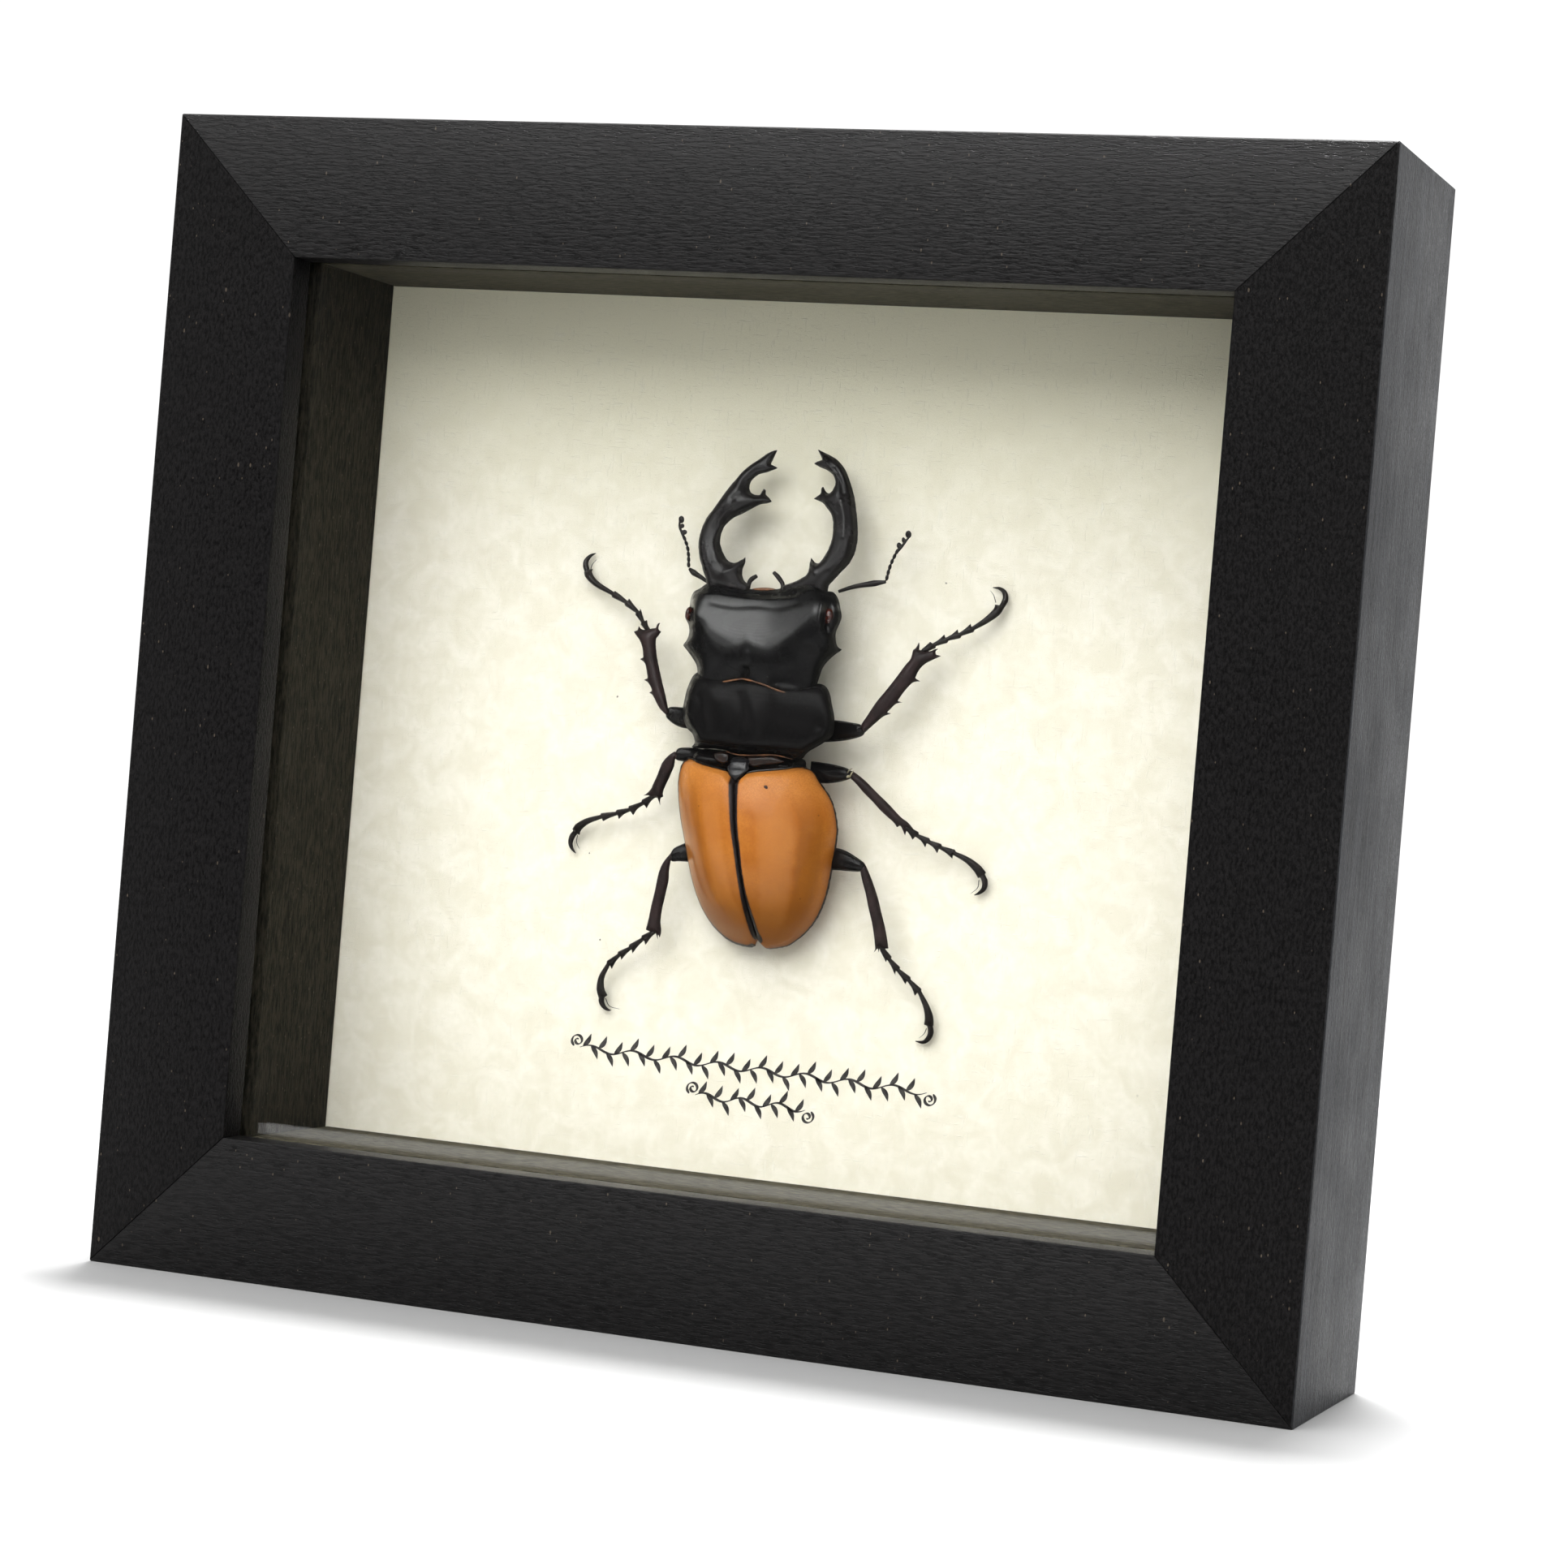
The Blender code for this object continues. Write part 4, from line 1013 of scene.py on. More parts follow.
for side, (place, height, size) in EYES.items():
    bm = bmesh.new()
    add_bead(bm, at_height(slide([place], HEAD_READ_AT, height), height)[0], size)
    make_piece("eye_" + side, bm, EYE)
bm = bmesh.new()
add_bead(bm, UPPER_LIP_PLACE, UPPER_LIP_SIZE, turn=0.06)
make_piece("upper_lip", bm, FRINGE_BROWN)

# %% [markdown]
# ## The plate behind the head
#
# The pronotum is a wide, low cushion with two broad humps and a rolled rim. A fine orange-brown
# fringe shows where the head slides into it, and another where it meets the wing cases.

# %% Pronotum
PRONOTUM_READ_AT = 6.5
PRONOTUM_OUTLINE = (
    ((-13.0, 90.8), (-13.5, 89.7), (-13.85, 88.5), (-14.05, 87.2), (-14.2, 85.6), (-13.9, 84.3),
     (-13.2, 83.1), (-12.5, 82.6), (-12.1, 81.9), (-12.05, 81.2), (-12.4, 80.5)),
    ((-10.5, 80.5), (-8.7, 80.6), (-6.7, 80.5), (-5.3, 80.2), (-4.3, 80.2), (-2.2, 80.4),
     (0.0, 80.5), (2.0, 80.35), (3.6, 80.1), (4.7, 80.25)),
    ((5.0, 80.8), (5.6, 81.4), (6.4, 81.9), (7.6, 82.7), (8.8, 83.8), (9.0, 85.0), (8.9, 86.3),
     (8.65, 87.3), (8.3, 88.4), (8.1, 89.2), (7.8, 89.9), (7.4, 90.5), (6.8, 90.9), (6.1, 91.0)),
    ((2.5, 90.7), (-3.0, 91.4), (-8.0, 91.2), (-12.4, 91.3)),
)
PRONOTUM_CROWN = (
    (79.5, 4.3), (81.0, 4.8), (82.5, 5.1), (84.5, 5.2), (87.0, 5.1), (88.5, 4.9), (90.0, 4.5),
    (92.0, 3.6),
)
PRONOTUM_MARGIN, PRONOTUM_REACH, PRONOTUM_KEEL = 6.2, 0.9, 3.2
PRONOTUM_STROKES = (
    (((-9.5, 88.6), (-8.6, 86.0), (-7.8, 83.6)), 1.5, 0.25),
    (((-4.4, 88.6), (-3.4, 86.0), (-2.9, 84.0)), 0.8, 0.14),
    (((-5.9, 88.4), (-5.3, 86.0), (-5.0, 83.6)), 0.9, -0.20),
    (((-1.6, 88.4), (-1.2, 86.2), (-1.6, 83.8)), 1.3, -0.18),
    (((-11.6, 87.8), (-11.2, 85.4), (-10.6, 83.6)), 0.8, -0.20),
    (((-11.8, 81.2), (-6.0, 80.95), (0.5, 81.1), (4.6, 80.9)), 0.35, -0.28),
    (((-11.9, 80.55), (-6.0, 80.35), (0.5, 80.6), (4.4, 80.35)), 0.28, 0.20),
    (((6.7, 84.9), (8.2, 84.2)), 0.8, -0.25),
)
NECK_FRINGE = (
    (-11.9, 90.1), (-11.3, 89.5), (-10.5, 89.5), (-9.0, 90.0), (-6.2, 90.7), (-5.0, 90.8),
    (-2.6, 90.35), (0.0, 89.6), (2.2, 89.2), (3.8, 89.35), (5.1, 89.9), (5.8, 90.6),
)
WAIST_FRINGE = ((-7.0, 80.35), (-5.4, 80.05), (-3.4, 80.1), (0.4, 80.4), (3.2, 80.05))
WAIST_HEIGHT = 8.6
FRINGE_RADII = (0.06, 0.11, 0.13, 0.13, 0.11, 0.06)

bm = fill_sheet(closed_outline(PRONOTUM_OUTLINE, step=0.3), spacing=0.35)
rise = swell(bm, PRONOTUM_REACH)
crown = profile(PRONOTUM_CROWN, places_of(bm)[:, 1])
bm = blow_up(bm, PRONOTUM_MARGIN, crown * rise, PRONOTUM_KEEL * rise)
bm = reskin(lean(bm, PRONOTUM_READ_AT), voxel=0.13, levelling=8)
bm = carve(bm, PRONOTUM_STROKES, PRONOTUM_READ_AT)
make_piece("pronotum", bm, THORAX_SKIN, ["beetle_pronotum"])

for name, line in (("neck_fringe", NECK_FRINGE), ("waist_fringe", WAIST_FRINGE)):
    route = smooth_route(line, step=0.4)
    heights = head_margin(route) + 0.2 if name == "neck_fringe" else WAIST_HEIGHT
    bm = bmesh.new()
    add_rod(bm, at_height(slide(route, HEAD_READ_AT, heights), heights), FRINGE_RADII, sides=8)
    make_piece(name, bm, FRINGE_BROWN)

# %% [markdown]
# ## The wing cases
#
# Both wing cases make one long dome that is split by the seam, and each is its own piece. The
# height of the dome comes from three lines: the crest above the seam, the low outer margin, and a
# rounded fall between them. The inner edges stand up as a thin wall, and a thin lip runs along
# the front edge. Every point remembers how far it is from the seam and from the margin, and the
# finish paints the black seam and rim from that.

# %% Wing cases
WING_READ_AT = 6.0
SEAM = (
    (-5.9, 78.4), (-5.7, 77.2), (-5.6, 75.5), (-5.5, 74.0), (-5.3, 72.0), (-4.95, 69.5),
    (-4.3, 66.5), (-3.5, 63.0), (-2.6, 60.0), (-1.6, 57.5), (-0.6, 55.2), (0.0, 54.3),
)
CREST = (
    (51.5, 3.2), (53.2, 4.6), (54.6, 6.2), (56.6, 8.4), (59.0, 10.5), (62.0, 12.0), (65.2, 12.8),
    (68.6, 13.0), (72.0, 12.8), (75.0, 12.2), (77.2, 11.2), (78.6, 10.1), (80.0, 8.8),
)
MARGIN = ((51.5, 3.0), (54.6, 3.3), (59.0, 3.9), (65.2, 4.5), (72.0, 5.4), (77.2, 6.3), (80.0, 6.7))
WING_CASES = {
    "left": {
        "front": (
            (-7.2, 77.6), (-8.2, 77.8), (-10.2, 78.15), (-11.6, 78.5), (-12.4, 78.85),
            (-13.2, 78.85),
        ),
        "outer": (
            (-13.2, 78.85), (-13.7, 78.5), (-14.0, 77.8), (-14.2, 76.7), (-14.26, 75.4),
            (-14.1, 73.9), (-13.8, 72.1), (-13.3, 69.9), (-12.5, 67.2), (-11.4, 63.3),
            (-10.6, 61.0), (-9.6, 58.8), (-8.4, 56.9), (-7.0, 55.3), (-5.2, 53.9), (-3.4, 53.1),
            (-1.8, 52.86), (-0.8, 52.86), (-0.36, 53.1),
        ),
        "tip": ((-0.36, 53.1), (-0.3, 53.7), (-0.05, 54.3)),
        "sign": -1, "fall": 0.87, "rim_share": 0.38,
    },
    "right": {
        "front": (
            (-3.9, 77.5), (-2.6, 77.85), (0.0, 78.25), (2.2, 78.65), (3.4, 78.95), (5.0, 79.06),
        ),
        "outer": (
            (5.0, 79.06), (6.0, 78.8), (6.8, 78.1), (7.8, 76.8), (8.8, 75.7), (9.7, 74.3),
            (10.3, 72.7), (10.7, 70.9), (10.74, 69.3), (10.6, 66.9), (10.36, 64.7), (10.1, 62.5),
            (9.7, 60.5), (9.0, 58.5), (8.0, 56.7), (6.6, 55.1), (4.8, 53.7), (3.0, 53.1),
            (1.8, 52.9), (0.9, 53.0),
        ),
        "tip": ((0.9, 53.0), (0.5, 53.5), (0.05, 54.3)),
        "sign": 1, "fall": 0.71, "rim_share": 1.0,
    },
}
SEAM_BAND = (
    (53.0, 0.72), (57.0, 0.66), (60.5, 0.5), (63.3, 0.44), (68.0, 0.5), (72.0, 0.58), (75.0, 0.68),
    (79.0, 0.8),
)
NOTCH_APEX, NOTCH_HEIGHT, TIP_HEIGHT = (-5.6, 76.2), 11.2, 4.3
SEAM_GAP, SEAM_SUNK = 0.05, 0.3
SEAM_WALL, FRONT_WALL = 0.35, 0.8
FALL_ACROSS = 2.3
LIP_RADII = (0.10, 0.15, 0.17, 0.15, 0.10)

seam_read = smooth_route(SEAM, step=0.3)
seam_line = slide(seam_read, WING_READ_AT, profile(CREST, seam_read[:, 1]) - SEAM_SUNK)


def x_at(line, heights_up):
    """The x of a line where it passes each height up the sheet."""
    order = np.argsort(line[:, 1])
    return np.interp(heights_up, line[order, 1], line[order, 0])


def dome_height(places, outer_line, fall):
    """The height of the margin beside each place, and of the wing case there. A larger fall makes
    the flank less steep at the margin, as on the left, over which the right one leans a little."""
    seam_x, outer_x = x_at(seam_line, places[:, 1]), x_at(outer_line, places[:, 1])
    across = np.clip((places[:, 0] - seam_x) / (outer_x - seam_x), 0, 1)
    low = profile(MARGIN, places[:, 1])
    return low, (profile(CREST, places[:, 1]) - low) * (1 - across ** FALL_ACROSS) ** fall + low


def rounded(distance, radius):
    """0 at an edge, and 1 from radius on, along a quarter circle."""
    return np.sqrt(1 - (1 - np.clip(distance / radius, 0, 1)) ** 2)


def outer_margin(side):
    """The outer margin of a wing case, slid to its height."""
    seen = smooth_route(WING_CASES[side]["outer"], step=0.25)
    return slide(seen, WING_READ_AT, profile(MARGIN, seen[:, 1]))


def make_wing_case(side, finish, lip_finish):
    data = WING_CASES[side]
    sign, fall = data["sign"], data["fall"]
    outer = outer_margin(side)
    front_read = smooth_route(data["front"], step=0.25)
    front = front_read
    for _ in range(4):
        surface = dome_height(front, outer, fall)[1]
        front = slide(front_read, WING_READ_AT, surface - FRONT_WALL / 2)
    tip = slide(smooth_route(data["tip"], step=0.2), WING_READ_AT, TIP_HEIGHT)
    inner = seam_line[seam_line[:, 1] < slide([NOTCH_APEX], WING_READ_AT, NOTCH_HEIGHT)[0, 1]]
    inner = inner + (sign * SEAM_GAP, 0)
    inner = inner[inner[:, 1] > tip[-1, 1] + 0.5][::-1]
    notch = smooth_route((inner[-1], front[0]), step=0.3)
    bm = fill_sheet(np.vstack([front[:-1], outer[:-1], tip, inner[:-1], notch[:-1]]), spacing=0.4)
    places = places_of(bm)
    low, surface = dome_height(places, outer, fall)
    edges = (np.vstack([notch, front]), np.vstack([tip, inner]), outer)
    to_front, to_seam, to_outer = [nearest_on(edge, places)[0] for edge in edges]
    wall = np.maximum((surface - FRONT_WALL - low) * np.exp(-(to_front / 0.9) ** 2),
                      (surface - SEAM_WALL - low) * np.exp(-(to_seam / 0.7) ** 2))
    rim = low + np.clip(wall, 0, None)
    ease = rounded(to_front, 0.7) * rounded(to_seam, 0.35) * rounded(to_outer, 0.5)
    bm = reskin(blow_up(bm, rim, (surface - rim) * ease, (rim - low + 0.3) * ease), voxel=0.2)
    piece = make_piece("wing_case_" + side, bm, finish, ["elytron_" + side])
    places = drawing_places(piece)
    from_seam, to_rim = nearest_on(seam_line, places)[0], nearest_on(outer, places)[0]
    add_measure(piece, "seam", from_seam / profile(SEAM_BAND, places[:, 1]))
    add_measure(piece, "rim", to_rim * data["rim_share"])
    add_measure(piece, "across", sign * from_seam / (from_seam + to_rim))
    lip = bmesh.new()
    lip_height = dome_height(front, outer, fall)[1] - FRONT_WALL + 0.15
    add_rod(lip, at_height(front + (0, 0.08), lip_height)[::2], LIP_RADII, sides=10)
    make_piece("wing_lip_" + side, lip, lip_finish)


# %% [markdown]
# The finish is amber orange under a thin gloss. It is paler at the root and browner towards the
# tip, partly its own colour and partly painted shade. Lengthwise bands of painted highlight and
# painted shade run along the flanks. It has the finest of pits and some darker specks, and a
# black seam and rim whose borders waver a little.

# %% Wing case finish
# Painted highlights and painted shade along the flanks: where across runs from start to end, each
# band mixes in its tone with a fade and a strength.
WING_PAINTED_LIGHT_BANDS = (
    (0.25, 0.62, 0.10, 0.50, (0.46, 0.175, 0.042)),
    (0.68, 0.90, 0.07, 0.55, (0.25, 0.080, 0.008)),
    (-0.93, -0.87, 0.04, 0.55, (0.48, 0.240, 0.090)),
    (-0.78, -0.52, 0.06, 0.55, (0.30, 0.092, 0.010)),
    (-0.46, -0.20, 0.08, 0.45, (0.50, 0.185, 0.040)),
)
WING_FINISH, tree, shader = new_finish(
    "amber_wing_case", {"Coat Roughness": 0.12, "Specular IOR Level": 0.16})
place = place_in_mm(tree)
height_up = part_of(tree, place, "Z")
clouds = remap(tree, noise(tree, place, 0.22, 4.0, 0.55, 0.4), 0.3, 0.7)
grain = remap(tree, noise(tree, place, 4.5, 2.0, 0.6), 0.3, 0.7)
colour = mix_colour(tree, clouds, (0.38, 0.114, 0.012), (0.48, 0.163, 0.020))
# Paler at the root and browner towards the tip: partly the wing case's own colour, partly painted
# shade.
for low, high, tone in ((71, 78, (0.62, 0.240, 0.052)), (66, 53, (0.23, 0.082, 0.010))):
    colour = mix_colour(tree, remap(tree, height_up, low, high, 0, 0.6), colour, tone)
colour = mix_colour(tree, times(tree, grain, 0.42), colour, (0.29, 0.092, 0.012))
drift = times(tree, noise(tree, place, 0.5), 0.07)
across = math_node(tree, "ADD", measured(tree, "across"), drift)
length = times(tree, remap(tree, height_up, 54, 61), remap(tree, height_up, 77.5, 70))
# Painted light: each band is a lengthwise highlight or shade on a flank.
for start, end, fade, strength, tone in WING_PAINTED_LIGHT_BANDS:
    rising, falling = remap(tree, across, start, start + fade), remap(tree, across, end + fade, end)
    painted_band = times(tree, times(tree, rising, falling), length)
    colour = mix_colour(tree, times(tree, painted_band, strength), colour, tone)
colour = sprinkle(tree, colour, place, 1.7, 0.14, 0.6, (0.10, 0.03, 0.008))
waver = noise(tree, place, 1.6)
seam = math_node(tree, "ADD", measured(tree, "seam"), times(tree, waver, 0.16))
rim = math_node(tree, "ADD", measured(tree, "rim"), times(tree, waver, 0.08))
at_seam, at_rim = remap(tree, seam, 1.45, 1.05), remap(tree, rim, 0.50, 0.25, 0, 0.6)
brown = math_node(tree, "MAXIMUM", at_seam, at_rim)
colour = mix_colour(tree, times(tree, brown, 0.7), colour, (0.20, 0.055, 0.008))
black = math_node(tree, "MAXIMUM", remap(tree, seam, 1.12, 1.0), remap(tree, rim, 0.25, 0.19))
feed(shader, "Base Color", mix_colour(tree, black, colour, (0.010, 0.007, 0.007)))
feed(shader, "Roughness", remap(tree, grain, 0, 1, 0.40, 0.32))
gloss, near_rim = remap(tree, clouds, 0, 1, 0.12, 0.28), remap(tree, rim, 0.5, 0.3)
feed(shader, "Coat Weight", math_node(tree, "SUBTRACT", gloss, near_rim, clamp=True))
feed(shader, "Normal", bump(tree, noise(tree, place, 3.2, 3.0, 0.6), 0.014))

make_wing_case("left", WING_FINISH, THIGH_SKIN)
make_wing_case("right", WING_FINISH, SHIELD_SKIN)

# %% [markdown]
# An old pin hole shows near the root of the right wing case. No hole is cut: a small dark disc on
# the surface is painted shade for the darkness inside the hole.

# %% Pin hole
# Painted shade: a dark disc stands for the inside of the hole.
PIN_HOLE_PAINTED_SHADE = two_tone("pin_hole_painted_shade", {"Roughness": 0.7}, scale=6.0, detail=2.0, low=0.3,
                    dark=(0.012, 0.004, 0.002), pale=(0.045, 0.012, 0.004))
PIN_HOLE_SEEN, PIN_HOLE_SIZE, PIN_HOLE_HEIGHT = (-1.0, 75.7), (0.33, 0.33, 0.08), 12.0
pin_place = slide([PIN_HOLE_SEEN], WING_READ_AT, PIN_HOLE_HEIGHT)
pin_height = dome_height(pin_place, outer_margin("right"), WING_CASES["right"]["fall"])[1]
bm = bmesh.new()
add_bead(bm, at_height(pin_place, pin_height - 0.02)[0], PIN_HOLE_SIZE)
make_piece("pin_hole_painted_shade", bm, PIN_HOLE_PAINTED_SHADE)

# %% [markdown]
# ## Under and between the wing cases
#
# The hind body carries the legs and shows as a black, partly brown strip in front of the wing
# cases. The scutellum is a small polished shield that sits in the notch between them. Two brown
# membranes show beside it at the waist.

# %% Hind body, scutellum and membranes
HIND_BODY_OUTLINE = (
    ((-6.5, 80.5), (0.0, 80.6), (4.2, 80.3), (5.0, 79.6), (4.6, 77.0), (5.6, 70.0), (4.8, 62.0),
     (2.5, 57.5), (-0.6, 55.6), (-4.5, 57.5), (-8.0, 62.0), (-10.4, 70.0), (-11.4, 76.5),
     (-11.6, 79.4), (-10.6, 80.6)),
)
HIND_BODY_CROWN = (
    (54.0, 0.8), (60.0, 1.0), (70.0, 1.6), (76.8, 2.0), (78.2, 4.6), (79.2, 5.2), (81.0, 5.2),
)
HIND_BODY_READ_AT, HIND_BODY_RIM_AT, HIND_BODY_LEVEL, HIND_BODY_KEEL = 6.0, 3.4, 3.2, 2.6
SCUTELLUM_OUTLINE = (
    ((-6.8, 77.4), (-6.3, 76.7), (-5.5, 76.15)), ((-4.8, 76.7), (-4.2, 77.4), (-3.75, 78.1)),
    ((-4.0, 78.6), (-4.1, 79.4), (-5.4, 79.8), (-6.8, 79.5), (-6.9, 78.7), (-7.2, 78.1)),
)
SCUTELLUM_TILT = ((75.5, 10.5), (77.2, 10.2), (78.4, 9.6), (79.6, 8.8))
SCUTELLUM_STROKES = ((((-7.2, 78.3), (-3.8, 78.3)), 0.5, -0.12),)
SCUTELLUM_HEIGHT, SCUTELLUM_SUNK, SCUTELLUM_OVER, SCUTELLUM_UNDER = 10.2, 0.2, 0.55, 0.9
MEMBRANE_HEIGHT, MEMBRANE_LEVEL, MEMBRANE_OVER, MEMBRANE_UNDER = 8.9, 8.55, 0.3, 0.5
MEMBRANES = {
    "left": (
        ((-8.8, 79.0), (-7.6, 78.6), (-6.9, 79.0), (-6.9, 80.0)), ((-8.0, 80.3), (-9.2, 79.9)),
    ),
    "right": (
        ((-3.9, 78.8), (-2.8, 78.5), (-1.6, 78.8), (0.4, 79.2), (1.6, 79.6)),
        ((0.0, 80.2), (-2.0, 80.1), (-3.9, 79.9)),
    ),
}

outline = slide(closed_outline(HIND_BODY_OUTLINE, step=0.4), HIND_BODY_READ_AT, HIND_BODY_RIM_AT)
bm = fill_sheet(outline, spacing=0.6)
rise = swell(bm, reach=1.3)
crown = profile(HIND_BODY_CROWN, places_of(bm)[:, 1])
bm = blow_up(bm, HIND_BODY_LEVEL, crown * rise, HIND_BODY_KEEL * rise)
bm = reskin(bm, voxel=0.25, smoothing=3)
make_piece("hind_body", bm, THIGH_SKIN, ["beetle_hind_body"])

outline = slide(closed_outline(SCUTELLUM_OUTLINE, step=0.2), WING_READ_AT, SCUTELLUM_HEIGHT)
bm = fill_sheet(outline, spacing=0.2)
rise = swell(bm, reach=0.6)
tilt = profile(SCUTELLUM_TILT, places_of(bm)[:, 1])
bm = blow_up(bm, tilt - SCUTELLUM_SUNK, SCUTELLUM_OVER * rise, SCUTELLUM_UNDER * rise)
bm = reskin(bm, voxel=0.08, smoothing=8)
bm = carve(bm, SCUTELLUM_STROKES, WING_READ_AT)
make_piece("scutellum_shield", bm, SHIELD_SKIN, ["scutellum"])

for side, outline in MEMBRANES.items():
    outline = slide(closed_outline(outline, step=0.2), WING_READ_AT, MEMBRANE_HEIGHT)
    bm = fill_sheet(outline, spacing=0.2)
    rise = swell(bm, reach=0.5)
    bm = blow_up(bm, MEMBRANE_LEVEL, MEMBRANE_OVER * rise, MEMBRANE_UNDER * rise)
    make_piece("waist_membrane_" + side, bm, BROWN_RIM)

# %% [markdown]
# ## The jaws
#
# The jaws are a stag beetle's pride: long curved pincers with a forked tip, a double tooth and a
# thorn near the root. They have no two sections alike, so the outline does the work, and the film
# over it gives each tooth its point. They sink a little towards the tips.

# %% Jaws
JAW_READ_AT = 5.0
JAW_HEIGHT = ((101.0, 6.5), (106.0, 6.4), (110.0, 6.0), (117.0, 5.2), (124.5, 4.2))
JAW_OVER, JAW_UNDER = 0.95, 0.85
JAWS = {
    "left": (
        ((-12.8, 104.6), (-13.3, 105.8), (-14.0, 107.5), (-14.4, 109.5), (-14.3, 111.0),
         (-13.7, 113.0), (-12.7, 114.6), (-10.9, 117.3), (-8.9, 120.0), (-7.7, 121.2),
         (-6.3, 122.2), (-4.8, 123.3), (-3.5, 123.8)), ((-3.9, 122.8), (-4.4, 121.6)),
        ((-4.0, 121.5), (-3.15, 121.15)),
        ((-4.7, 120.5), (-6.0, 120.1), (-7.0, 119.3), (-7.4, 118.4), (-7.2, 117.6), (-6.5, 117.2),
         (-5.7, 117.2), (-5.5, 117.6), (-5.15, 118.15)),
        ((-4.8, 117.9), (-4.75, 117.3), (-4.2, 116.85), (-3.7, 116.3)),
        ((-4.5, 116.0), (-5.5, 115.8), (-6.8, 115.1), (-8.0, 114.4), (-9.5, 113.6), (-10.6, 112.5),
         (-11.1, 111.4), (-11.2, 110.2), (-10.9, 109.2), (-10.3, 108.2), (-9.6, 107.5),
         (-8.7, 107.3), (-7.9, 107.6), (-7.05, 108.3)),
        ((-7.05, 107.4), (-7.4, 106.3), (-7.3, 105.4), (-6.9, 104.8), (-6.2, 104.2), (-6.2, 103.0)),
        ((-12.4, 103.0),),
    ),
    "right": (
        ((5.8, 104.7), (6.6, 105.8), (7.6, 107.0), (8.5, 108.0), (9.2, 109.3), (9.5, 110.5),
         (9.6, 112.0), (9.4, 114.0), (9.0, 116.0), (8.5, 118.0), (7.5, 120.4), (6.8, 121.6),
         (5.7, 122.7), (4.6, 123.3), (2.4, 124.2)), ((2.9, 123.4), (3.4, 122.7)),
        ((2.6, 122.4), (2.05, 122.05)),
        ((3.0, 121.6), (4.2, 121.2), (5.1, 120.6), (5.5, 119.9), (5.6, 119.2), (5.3, 118.4),
         (4.8, 118.0), (4.3, 118.2), (3.8, 118.95)),
        ((3.5, 118.6), (3.5, 117.9), (3.0, 117.5), (2.45, 117.05)),
        ((3.3, 116.8), (4.0, 116.5), (4.6, 115.9), (5.3, 115.1), (5.7, 114.2), (5.85, 113.0),
         (5.85, 111.8), (5.6, 110.6), (5.2, 109.6), (4.6, 108.5), (4.0, 108.0), (3.4, 108.2),
         (2.85, 108.85)),
        ((2.75, 107.8), (2.7, 106.9), (2.5, 106.3), (1.9, 105.9), (0.9, 105.3), (-0.3, 104.8),
         (-1.1, 104.4), (-1.0, 103.0)), ((6.0, 103.0),),
    ),
}
JAW_STROKES = {
    "left": (
        (((-11.5, 107.5), (-12.3, 110.0), (-11.6, 112.6)), 0.5, 0.18),
        (((-11.6, 113.2), (-10.6, 114.6), (-9.4, 115.9)), 0.28, 0.14),
        (((-9.6, 113.9), (-8.0, 115.0), (-6.4, 115.9)), 0.3, -0.16),
        (((-9.9, 116.4), (-8.6, 117.6), (-8.1, 119.0)), 0.5, -0.18),
        (((-6.4, 116.4), (-5.0, 116.5), (-4.2, 116.4)), 0.25, 0.12),
        (((-10.2, 105.8), (-8.9, 106.4), (-7.7, 107.4)), 0.35, 0.16),
    ),
    "right": (
        (((6.0, 107.2), (7.6, 109.2), (8.0, 111.5)), 0.5, 0.16),
        (((7.4, 112.0), (7.3, 114.6), (6.6, 117.0)), 0.4, 0.16),
        (((6.2, 115.4), (5.2, 116.4), (3.8, 116.9)), 0.3, -0.14),
        (((6.8, 118.2), (6.3, 119.8), (5.2, 121.4)), 0.35, -0.16),
        (((5.4, 120.9), (4.4, 121.9), (3.4, 122.9)), 0.22, 0.10),
        (((3.6, 106.6), (3.0, 107.8)), 0.3, 0.14),
    ),
}
for side, stretches in JAWS.items():
    outline = closed_outline(stretches, step=0.16)
    bm = fill_sheet(slide(outline, JAW_READ_AT, profile(JAW_HEIGHT, outline[:, 1])), spacing=0.24)
    rise = swell(bm)
    middle = profile(JAW_HEIGHT, places_of(bm)[:, 1])
    bm = reskin(blow_up(bm, middle, JAW_OVER * rise, JAW_UNDER * rise), voxel=0.085, smoothing=1)
    bm = carve(bm, JAW_STROKES[side], JAW_READ_AT)
    make_piece("jaw_" + side, bm, JAW_SKIN, ["mandible_" + side])

# %% [markdown]
# ## The legs
#
# Six legs, each of a thigh, a shin with spines, and a foot of five joints that ends in a hooked
# claw. Their outlines and routes are seen on a plane 4 mm above the paper, and heights says where
# hip, knee and ankle lie. Each spine of a shin is a corner of its outline.

